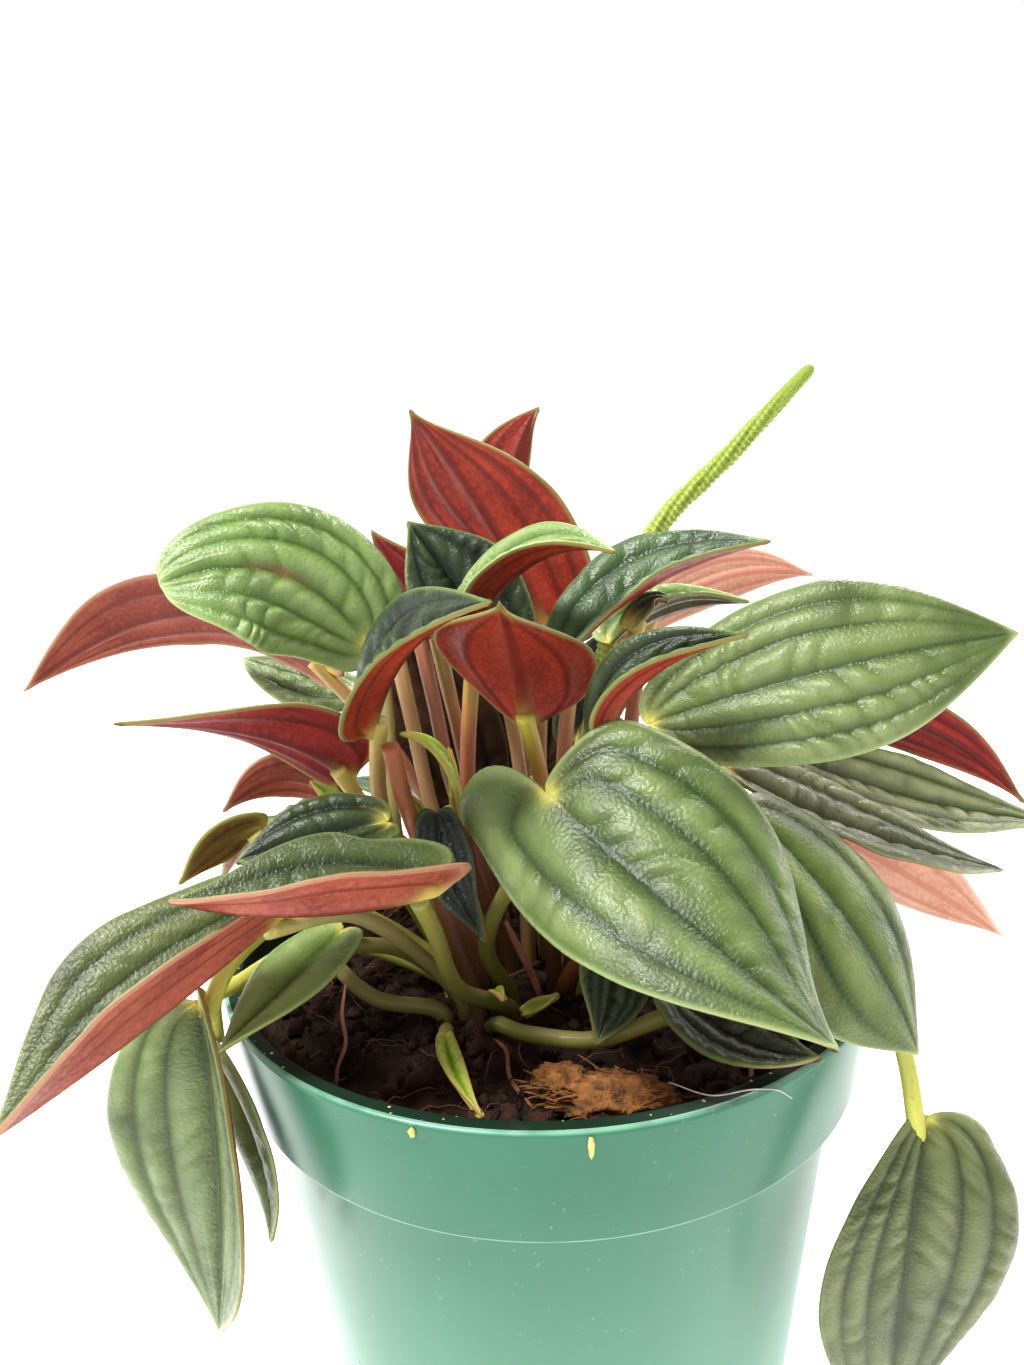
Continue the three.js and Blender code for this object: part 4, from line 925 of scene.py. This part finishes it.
def spike_piece():
    path = spline(upright(SPIKE_ROOT, SPIKE_POINTS), SPIKE_STEP)
    steps, turn = lengths(path), angles(SPIKE_SIDES)
    along = steps / steps[-1]
    taper = np.minimum(1, (1 - along) / (1 - SPIKE_BARE))
    full = SPIKE_TIP_RADIUS + (SPIKE_RADIUS - SPIKE_TIP_RADIUS) * taper**SPIKE_TAPER
    flowering = np.clip((along - SPIKE_BARE) / SPIKE_START, 0, 1)
    radius = PETIOLE_RADIUS * (1 - flowering) + full * flowering
    ending = np.clip(1 - (1 - along) / SPIKE_ROUND, 0, 1)
    rounded = np.sqrt(np.clip(1 - ending**2, 0.02, 1))
    grown = flowering * np.clip((1 - along) / SPIKE_SMOOTH, 0, 1)
    lumps = florets(steps[:, None], turn[None, :]) * grown[:, None]
    radii = (radius * rounded + FLORET_SPREAD * flowering)[:, None] + FLORET_HEIGHT * lumps
    points, faces, ring_of = tube(path, radii, SPIKE_SIDES)
    shape = toned(points, faces, along[ring_of])
    shape["form"][: lumps.size, 1] = np.clip(0.5 + 0.5 * lumps, 0, 1).ravel()
    around = np.concatenate([np.tile(turn * 2, len(path)), [0, 0]])
    shape["flat"] = np.stack([around, steps[ring_of], ring_of * 0], -1)
    made = piece("flower_spike_fine", shape, [spike_material()])
    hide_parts("flower_spike")


spike_piece()


# ---- Pot ---------------------------------------------------------------------------------------

BAND_FOOT = POT_HEIGHT - BAND_HEIGHT
POT_SEGMENTS = 192
LONGEST_RING = 6
DRAIN_SEGMENTS = 40


def pot_inner_radius(height):
    foot = BAND_FOOT + POT_WALL
    inner, rim = BAND_FOOT_RADIUS - POT_WALL, RIM_RADIUS - LIP_WIDTH
    if height >= foot:
        return inner + (rim - inner) * (height - foot) / (POT_HEIGHT - foot)
    slope = (BODY_TOP_RADIUS - BASE_RADIUS) / BAND_FOOT
    return BASE_RADIUS + slope * height - POT_WALL


def eased(profile, steps=5):
    """A profile of (radius, height, rounding) corners as points, each corner rounded by its radius."""
    points = []
    for i, (x, y, ease) in enumerate(profile):
        here = np.array((x, y), float)
        if ease == 0:
            points.append(here)
            continue
        before = unit(np.array(profile[i - 1][:2]) - here)
        after = unit(np.array(profile[i + 1][:2]) - here)
        opening = math.acos(float(before @ after))
        reach = ease / math.tan(opening / 2)
        start, end = here + before * reach, here + after * reach
        for t in np.linspace(0, 1, steps + 1):
            points.append(start * (1 - t) ** 2 + 2 * here * t * (1 - t) + end * t**2)
    return points


def pot_profile():
    """Radius and height from the base up over the rim and down inside."""
    outside = [
        (BASE_RADIUS, 0, 0.6), (BODY_TOP_RADIUS, BAND_FOOT, 0.35), (BAND_FOOT_RADIUS, BAND_FOOT, 0.6),
        (RIM_RADIUS, POT_HEIGHT, 0.7), (RIM_RADIUS - LIP_WIDTH, POT_HEIGHT, 0.6),
    ]
    heights = (BAND_FOOT + POT_WALL, BAND_FOOT - POT_WALL, BASE_THICKNESS)
    inside = [(pot_inner_radius(height), height, 0) for height in heights]
    path = eased([(0, 0, 0), *outside, *inside, (0, BASE_THICKNESS, 0)])[1:-1]
    # Long straight stretches get rings between their ends, so that the walls shade evenly
    profile = [path[0]]
    for a, b in zip(path, path[1:]):
        parts = max(1, int(np.linalg.norm(b - a) / LONGEST_RING))
        profile += [a + (b - a) * (k + 1) / parts for k in range(parts)]
    return profile


def cut_drains(pot):
    """Cuts the drainage holes through the base."""
    holes = bmesh.new()
    for angle in angles(DRAIN_HOLES):
        place = Vector((math.cos(angle), math.sin(angle), 0)) * DRAIN_CIRCLE * MM
        radius = DRAIN_RADIUS * MM
        bmesh.ops.create_cone(holes, cap_ends=True, segments=DRAIN_SEGMENTS, radius1=radius,
                              radius2=radius, depth=10 * BASE_THICKNESS * MM,
                              matrix=Matrix.Translation(place))
    cutter = bpy.data.meshes.new("drains")
    holes.to_mesh(cutter)
    holes.free()
    drains = linked("drains", cutter)
    cut = pot.modifiers.new("drains", "BOOLEAN")
    cut.operation, cut.object, cut.solver = "DIFFERENCE", drains, "EXACT"
    graph = bpy.context.evaluated_depsgraph_get()
    mesh = bpy.data.meshes.new_from_object(pot.evaluated_get(graph), depsgraph=graph)
    pot.modifiers.clear()
    pot.data = mesh
    bpy.data.objects.remove(drains)


def pot_piece():
    profile = pot_profile()
    points = np.vstack([ring(radius, angles(POT_SEGMENTS), height) for radius, height in profile])
    faces = bands(len(profile), POT_SEGMENTS)
    faces.append(tuple(reversed(range(POT_SEGMENTS))))
    faces.append(tuple(range(len(points) - POT_SEGMENTS, len(points))))
    lip = next(k for k, (_, height) in enumerate(profile) if height > POT_HEIGHT - 0.01)
    tags = [int(k >= lip) for k in range(len(profile) - 1) for _ in range(POT_SEGMENTS)] + [0, 1]
    shape = dict(points=points, faces=faces, tags=tags)
    made = piece("pot_fine", shape, [pot_material(), pot_inner_shade_material()])
    cut_drains(made)
    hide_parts("pot")


pot_piece()


# ---- Soil --------------------------------------------------------------------------------------

# Bumps on the soil: height, width, and how far their pattern is shifted to the right and back
SOIL_BUMPS = [(0.9, 9, 4, 0), (0.8, 3.4, 0, 9), (0.55, 1.5, 21, 0), (0.3, 0.8, 0, 33)]
SOIL_RINGS = 72
SOIL_SEGMENTS = 260
SOIL_EDGE_GAP = 0.05
CRUMBS = 1150
CRUMB_REACH = 47.3
CRUMB_SIZE = 0.75
CRUMB_MOST = 2.6
CRUMB_ROUGHNESS = (0.32, 1.4)  # how far its points move on average, and the limit in these steps
FIBRES = 150
FIBRE_REACH = 46
FIBRE_STEP = 1.3
FIBRE_POINTS = (4, 9)  # the least and the most
FIBRE_END = 47  # no fibre goes on beyond this radius
HUSK_PLACE = np.array((6.0, -35.5, 84.6))
HUSK_FIBRES = 130
DUST_GRAINS = 70
DUST_RING = (49.9, 52.1)
DUST_ROUGHNESS = (0.25, 1.5)

PEAT = earth_material("peat", (8, 5, 2), (52, 29, 13), 420.0)
CRUMB = earth_material("peat_crumb", (9, 6, 3), (76, 43, 20), 520.0)
HUSK = earth_material("coir_husk", (44, 26, 11), (170, 112, 54), 500.0, 0.8)
FIBRE = earth_material("coir_fibre", (62, 36, 20), (142, 92, 56), 300.0, 0.7, 0.4)
DUST = earth_material("rim_dust", (150, 128, 84), (222, 212, 168), 300.0, 0.7, 0.4)


def soil_height(x, y):
    bumps = [high * noise(x / wide + right, y / wide + back) for high, wide, right, back in SOIL_BUMPS]
    return SOIL_LEVEL + sum(bumps)


def soil_piece():
    turn, edge = angles(SOIL_SEGMENTS), pot_inner_radius(SOIL_LEVEL) - SOIL_EDGE_GAP
    low, foot, above = BASE_THICKNESS + SOIL_GAP, BAND_FOOT - POT_WALL, BAND_FOOT + POT_WALL
    walls = [(low, low), (foot, foot), (above, above + SOIL_GAP)]
    rings = [ring(pot_inner_radius(wall) - SOIL_GAP, turn, height) for wall, height in walls]
    for k in range(SOIL_RINGS):
        x, y, _ = ring(edge * (1 - k / SOIL_RINGS), turn, 0).T
        rings.append(np.stack([x, y, soil_height(x, y)], -1))
    points = np.vstack([*rings, [(0, 0, SOIL_LEVEL)]])
    faces = bands(len(rings), SOIL_SEGMENTS)
    last, middle = (len(rings) - 1) * SOIL_SEGMENTS, len(points) - 1
    faces += [(last + k, last + (k + 1) % SOIL_SEGMENTS, middle) for k in range(SOIL_SEGMENTS)]
    faces.append(tuple(reversed(range(SOIL_SEGMENTS))))
    tone = np.clip(0.5 + 0.35 * (points[:, 2] - SOIL_LEVEL), 0, 1)
    made = piece("soil_fine", toned(points, faces, tone), [PEAT])
    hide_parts("soil")


def ball(subdivisions):
    shape = bmesh.new()
    bmesh.ops.create_icosphere(shape, subdivisions=subdivisions, radius=1)
    points = np.array([v.co for v in shape.verts])
    faces = [tuple(v.index for v in f.verts) for f in shape.faces]
    shape.free()
    return points, faces


def knobbly(points, amount, most):
    """A ball's points, moved in and out at random, by at most this many times the amount."""
    return points * (1 + amount * rng.normal(size=(len(points), 1)).clip(-most, most))


def scattered(reach):
    """A random place on the soil."""
    angle, distance = rng.uniform(0, TURN), reach * math.sqrt(rng.uniform(0, 1))
    return distance * math.cos(angle), distance * math.sin(angle)


def strand(path, radius, sides=5, tone=0.5, taper=0.3):
    t = np.linspace(0, 1, len(path))
    radii = radius * (1 - (1 - taper) * np.abs(2 * t - 1) ** 4)
    return toned(*tube(path, radii, sides)[:2], tone)


def crumbs_piece():
    base, faces = ball(2)
    crumbs = []
    for _ in range(CRUMBS):
        x, y = scattered(CRUMB_REACH)
        size = min(CRUMB_MOST, CRUMB_SIZE * math.exp(0.5 * rng.normal()))
        points = knobbly(base, *CRUMB_ROUGHNESS) * rng.uniform(0.6, 1.25, 3) * size
        turn, tilt = rng.uniform(0, 6.28), rng.uniform(-0.5, 0.5)
        points = points @ np.array(Matrix.Rotation(turn, 3, "Z") @ Matrix.Rotation(tilt, 3, "X")).T
        height = float(soil_height(np.array([x]), np.array([y]))[0])
        crumbs.append(toned(points + (x, y, height + 0.25 * size), faces, rng.uniform(0, 1) ** 2))
    piece("soil_crumbs", joined(crumbs), [CRUMB])


def fibre_path():
    """A fibre that wanders over the soil from a random place, up to the pot's wall."""
    x, y = scattered(FIBRE_REACH)
    heading, bend = rng.uniform(0, TURN), rng.normal() * 0.22
    path = []
    for _ in range(FIBRE_POINTS[1]):
        path.append((x, y, 0))
        heading += bend + 0.25 * rng.normal()
        x, y = x + FIBRE_STEP * math.cos(heading), y + FIBRE_STEP * math.sin(heading)
        if math.hypot(x, y) > FIBRE_END:
            break
    return np.array(path, float)


def fibres_piece():
    fibres = []
    for _ in range(FIBRES):
        path = fibre_path()
        if len(path) < FIBRE_POINTS[0]:
            continue
        lift = np.sin(np.linspace(0, math.pi, len(path))) * rng.uniform(0.2, 1.4)
        path[:, 2] = soil_height(path[:, 0], path[:, 1]) + 0.2 + lift
        fibres.append(strand(path, rng.uniform(0.05, 0.13), tone=rng.uniform(0, 1)))
    piece("coir_fibres", joined(fibres), [FIBRE])


# The husk's three lumps: place, half sizes and tone
HUSK_LUMPS = [
    ((0, 0, 0.4), (8.0, 4.4, 2.3), 0.35),
    ((-5.5, 2.6, 1.0), (4.0, 3.0, 2.4), 0.5),
    ((5.5, -0.5, 0.2), (5.0, 3.4, 1.8), 0.25),
]


def husk_piece():
    """A torn piece of coconut husk near the front rim: ragged lumps with stiff fibres along them."""
    base, faces = ball(4)
    x, y, z = base.T
    ragged = 1 + 0.22 * noise(x * 3 + 7, y * 9) + 0.16 * noise(x * 7, z * 12 + y * 12)
    parts = []
    for centre, size, tone in HUSK_LUMPS:
        points = base * ragged[:, None] * size + centre + HUSK_PLACE
        parts.append(toned(points, faces, np.clip(tone + 2.5 * (ragged - 1), 0, 1)))
    for _ in range(HUSK_FIBRES):
        start = HUSK_PLACE + (rng.uniform(-8, 9), rng.uniform(-3.2, 3.6), rng.uniform(0.8, 2.4))
        way = unit((-1 + 0.4 * rng.normal(), 0.3 + 0.3 * rng.normal(), 0.1 + 0.16 * rng.normal()))
        length, sag = rng.uniform(1.8, 5.5), np.array((0, 0, -1)) * rng.uniform(0, 1.2)
        path = [start + way * length * t + sag * t**2 for t in np.linspace(0, 1, 6)]
        parts.append(strand(path, rng.uniform(0.08, 0.22), tone=rng.uniform(0, 1)))
    piece("coir_husk", joined(parts), [HUSK])


soil_piece()
crumbs_piece()
fibres_piece()
husk_piece()


# ---- Small things ------------------------------------------------------------------------------

ROOT_PINK = plain_material("root_pink", (120, 74, 56), (186, 124, 98), 300.0, 0.5, (1, 1, 0.3))
DRY_BLACK = plain_material("dry_black", (16, 14, 14), (52, 46, 44), 600.0, 0.7)
PETAL = plain_material("petal_yellow", (190, 186, 90), (226, 220, 130), 400.0, 0.6)
PALE_FIBRE = plain_material("pale_fibre", (190, 190, 180), (236, 232, 220), 400.0, 0.5)

# Thin roots and runners: path and radius
ROOTS = [
    ([(29, -19, 88.5), (27.6, -20.4, 88.2), (26.9, -23, 86.6), (27.6, -28, 85.4), (26.6, -34, 84.6)], 0.42),
    ([(-29.3, -25.5, 98), (-29.9, -27, 94), (-29.4, -28.6, 90.5), (-30.6, -30, 87.5), (-31, -31, 84)], 0.3),
    ([(-1, -9, 84), (-2.4, -10, 89), (-4.4, -11, 94.5), (-6.4, -12, 100)], 0.6),
    ([(-9, -20, 85), (-7, -24, 85.4), (-6.5, -30, 84.8), (-3.5, -36, 84.2)], 0.35),
    ([(14, 27, 85), (20, 30, 85.6), (26, 29, 84.6)], 0.35),
    ([(-20, 26, 85), (-26, 28, 85.5), (-30, 24, 84.5)], 0.35),
]
roots = [strand(spline(points, 0.8), radius, 8, 0.5, 0.5) for points, radius in ROOTS]
piece("thin_roots", joined(roots), [ROOT_PINK])

DRY_STUB = [(-10.4, -6, 84), (-12.6, -6, 108), (-13.6, -6, 116), (-13.3, -6, 121)]
piece("dry_stub", strand(spline(DRY_STUB, 0.9), 0.9, 10, 0.5, 0.9), [DRY_BLACK])

# Tiny new leaves: base, middle, tip, face and half widths
SPROUTS = [
    ((-13.4, -10.5, 120), (-13.2, -11, 124), (-13.8, -10.5, 128), (1, -5, 1), 0.9),
    ((-4.5, -15.5, 86.5), (-1.5, -16.2, 88.2), (1.2, -16.6, 90), (0, -4, 4), (1.4, 1.2)),
    ((-18.2, -11.8, 117.5), (-18.8, -12.2, 119.5), (-20, -12.4, 121), (0, -5, 2), 0.9),
    ((-9, -14, 89), (-8, -17, 91), (-7, -20, 91.5), (0, -2, 5), 1.3),
]
for number, (base, mid, tip, face, half) in enumerate(SPROUTS, 1):
    sprout = dict(base=base, mid=mid, tip=tip, face=face, half=half, fold=28)
    materials = [TOP_MATERIALS["lime"], BACK_MATERIALS["lime"]]
    piece(f"sprout_{number}", Blade(sprout, TINY, 69 + number).shape(), materials)


def flake(corners, thickness=0.12):
    """A thin closed plate from an outline of points on a surface."""
    corners = np.array(corners, float)
    outward = unit(np.cross(corners[1] - corners[0], corners[2] - corners[0]))
    count = len(corners)
    points = np.vstack([corners + outward * thickness, corners - outward * thickness])
    faces = [tuple(range(count)), tuple(reversed(range(count, 2 * count)))]
    faces += [(k, k + count, (k + 1) % count + count, (k + 1) % count) for k in range(count)]
    return dict(points=points, faces=faces)


def on_band(angle, height, proud):
    """A point just outside the band's outer face. The angle is from the front, to the right."""
    share = (height - BAND_FOOT) / BAND_HEIGHT
    radius = BAND_FOOT_RADIUS + (RIM_RADIUS - BAND_FOOT_RADIUS) * share + proud
    return radius * math.sin(angle), -radius * math.cos(angle), height


# Bits of petal that stick to the band: the middle's angle, how far out it stands, and its outline
# as the angle from there and the height
PETAL_BITS = {
    "petal_bit": (0.061, 0.18, [(-0.005, 91.4), (-0.008, 90.2), (-0.006, 88.8), (0.0, 88.1),
                                (0.006, 88.9), (0.008, 90.4), (0.004, 91.4)]),
    "petal_speck": (-0.357, 0.16, [(-0.01, 90.8), (-0.004, 89.9), (0.007, 90.2), (0.01, 91.2),
                                   (0.0, 91.5)]),
}
for name, (middle, proud, outline) in PETAL_BITS.items():
    corners = [on_band(middle + angle, height, proud) for angle, height in outline]
    piece(name, flake(corners), [PETAL])

# A pale fibre that bends over the rim
RIM_FIBRE = [(14, -42, 91.2), (18.6, -46.9, 92.4), (23.5, -46.2, 92.5), (27, -45.2, 91.6),
             (29.3, -43.9, 89.4)]
piece("rim_fibre", strand(spline(RIM_FIBRE, 0.6), 0.09, 5, 0.5, 0.6), [PALE_FIBRE])


def dust_piece():
    """Grains of soil on the rim."""
    base, faces = ball(1)
    grains = []
    for _ in range(DUST_GRAINS):
        angle, radius, size = rng.uniform(0, TURN), rng.uniform(*DUST_RING), rng.uniform(0.06, 0.2)
        points = knobbly(base, *DUST_ROUGHNESS) * (1.3, 1, 0.6) * size
        points = points + ring(radius, angle, POT_HEIGHT + 0.3 * size)
        grains.append(toned(points, faces, rng.uniform(0, 1)))
    piece("rim_dust", joined(grains), [DUST])


dust_piece()


# ---- Stage, light and camera -------------------------------------------------------------------

FLOOR_HALF = 4.0  # in metres, as all places from here on


def floor_piece():
    mesh = bpy.data.meshes.new("floor")
    corners = [(x * FLOOR_HALF, y * FLOOR_HALF, 0) for x, y in ((-1, -1), (1, -1), (1, 1), (-1, 1))]
    mesh.from_pydata(corners, [], [(0, 1, 2, 3)])
    s = Shader("floor_white", IOR=1.3, Roughness=0.9, Emission_Color=(1, 1, 1, 1), Emission_Strength=0.7)
    s.set(Base_Color=s.mix(s.noise(s.place(), 6.0), rgb(254, 254, 253), rgb(255, 255, 255)))
    mesh.materials.append(s.material)
    made = linked("floor", mesh)


def studio():
    """White walls all round and a dimmer ceiling, so that the softboxes shape the leaves."""
    world = bpy.data.worlds.new("studio")
    world.use_nodes = True
    nodes, links = world.node_tree.nodes, world.node_tree.links
    backdrop = nodes["Background"]
    backdrop.inputs["Color"].default_value = (1, 1, 1, 1)
    direction = nodes.new("ShaderNodeTexCoord")
    heights = nodes.new("ShaderNodeSeparateXYZ")
    fall = nodes.new("ShaderNodeMapRange")
    for name, value in {"From Min": 0.42, "From Max": 0.66, "To Min": 1.04, "To Max": 0.25}.items():
        fall.inputs[name].default_value = value
    links.new(direction.outputs["Generated"], heights.inputs[0])
    links.new(heights.outputs[2], fall.inputs[0])
    links.new(fall.outputs[0], backdrop.inputs["Strength"])
    bpy.context.scene.world = world


floor_piece()
studio()
bpy.context.scene.view_settings.view_transform = "Standard"


def softbox(name, place, aim, width, height, power):
    light = bpy.data.lights.new(name, "AREA")
    light.shape = "RECTANGLE"
    light.size, light.size_y, light.energy = width, height, power
    made = linked(name, light)
    made.location = place
    made.rotation_euler = (Vector(aim) - Vector(place)).to_track_quat("-Z", "Y").to_euler()


softbox("key", (-0.4, -0.16, 0.95), (0, 0, 0.12), 0.24, 0.24, 15)
softbox("back", (0.3, 0.55, 0.75), (0, 0, 0.12), 0.3, 0.3, 5)
softbox("left", (-0.62, 0.36, 0.25), (0, 0, 0.1), 0.25, 0.7, 1.7)
softbox("right", (0.62, 0.32, 0.25), (0, 0, 0.1), 0.25, 0.7, 2.0)

PITCH, ROLL = 12.4 * DEG, -2.5 * DEG
EYE = (-0.0038, -0.1589, 0.1701)
LENS = 27.03
SENSOR_WIDTH = 36


def camera_piece():
    ahead = Vector((0, math.cos(PITCH), -math.sin(PITCH)))
    across = Vector((1, 0, 0))
    above = across.cross(ahead)
    right = across * math.cos(ROLL) + above * math.sin(ROLL)
    up = above * math.cos(ROLL) - across * math.sin(ROLL)
    lens = bpy.data.cameras.new("camera")
    lens.lens, lens.sensor_width, lens.sensor_fit = LENS, SENSOR_WIDTH, "AUTO"
    lens.clip_start, lens.clip_end = 0.005, 50
    placed = Matrix((right, up, -ahead)).transposed().to_4x4()
    placed.translation = EYE
    made = linked("camera", lens)
    made.matrix_world = placed
    bpy.context.scene.camera = made


camera_piece()
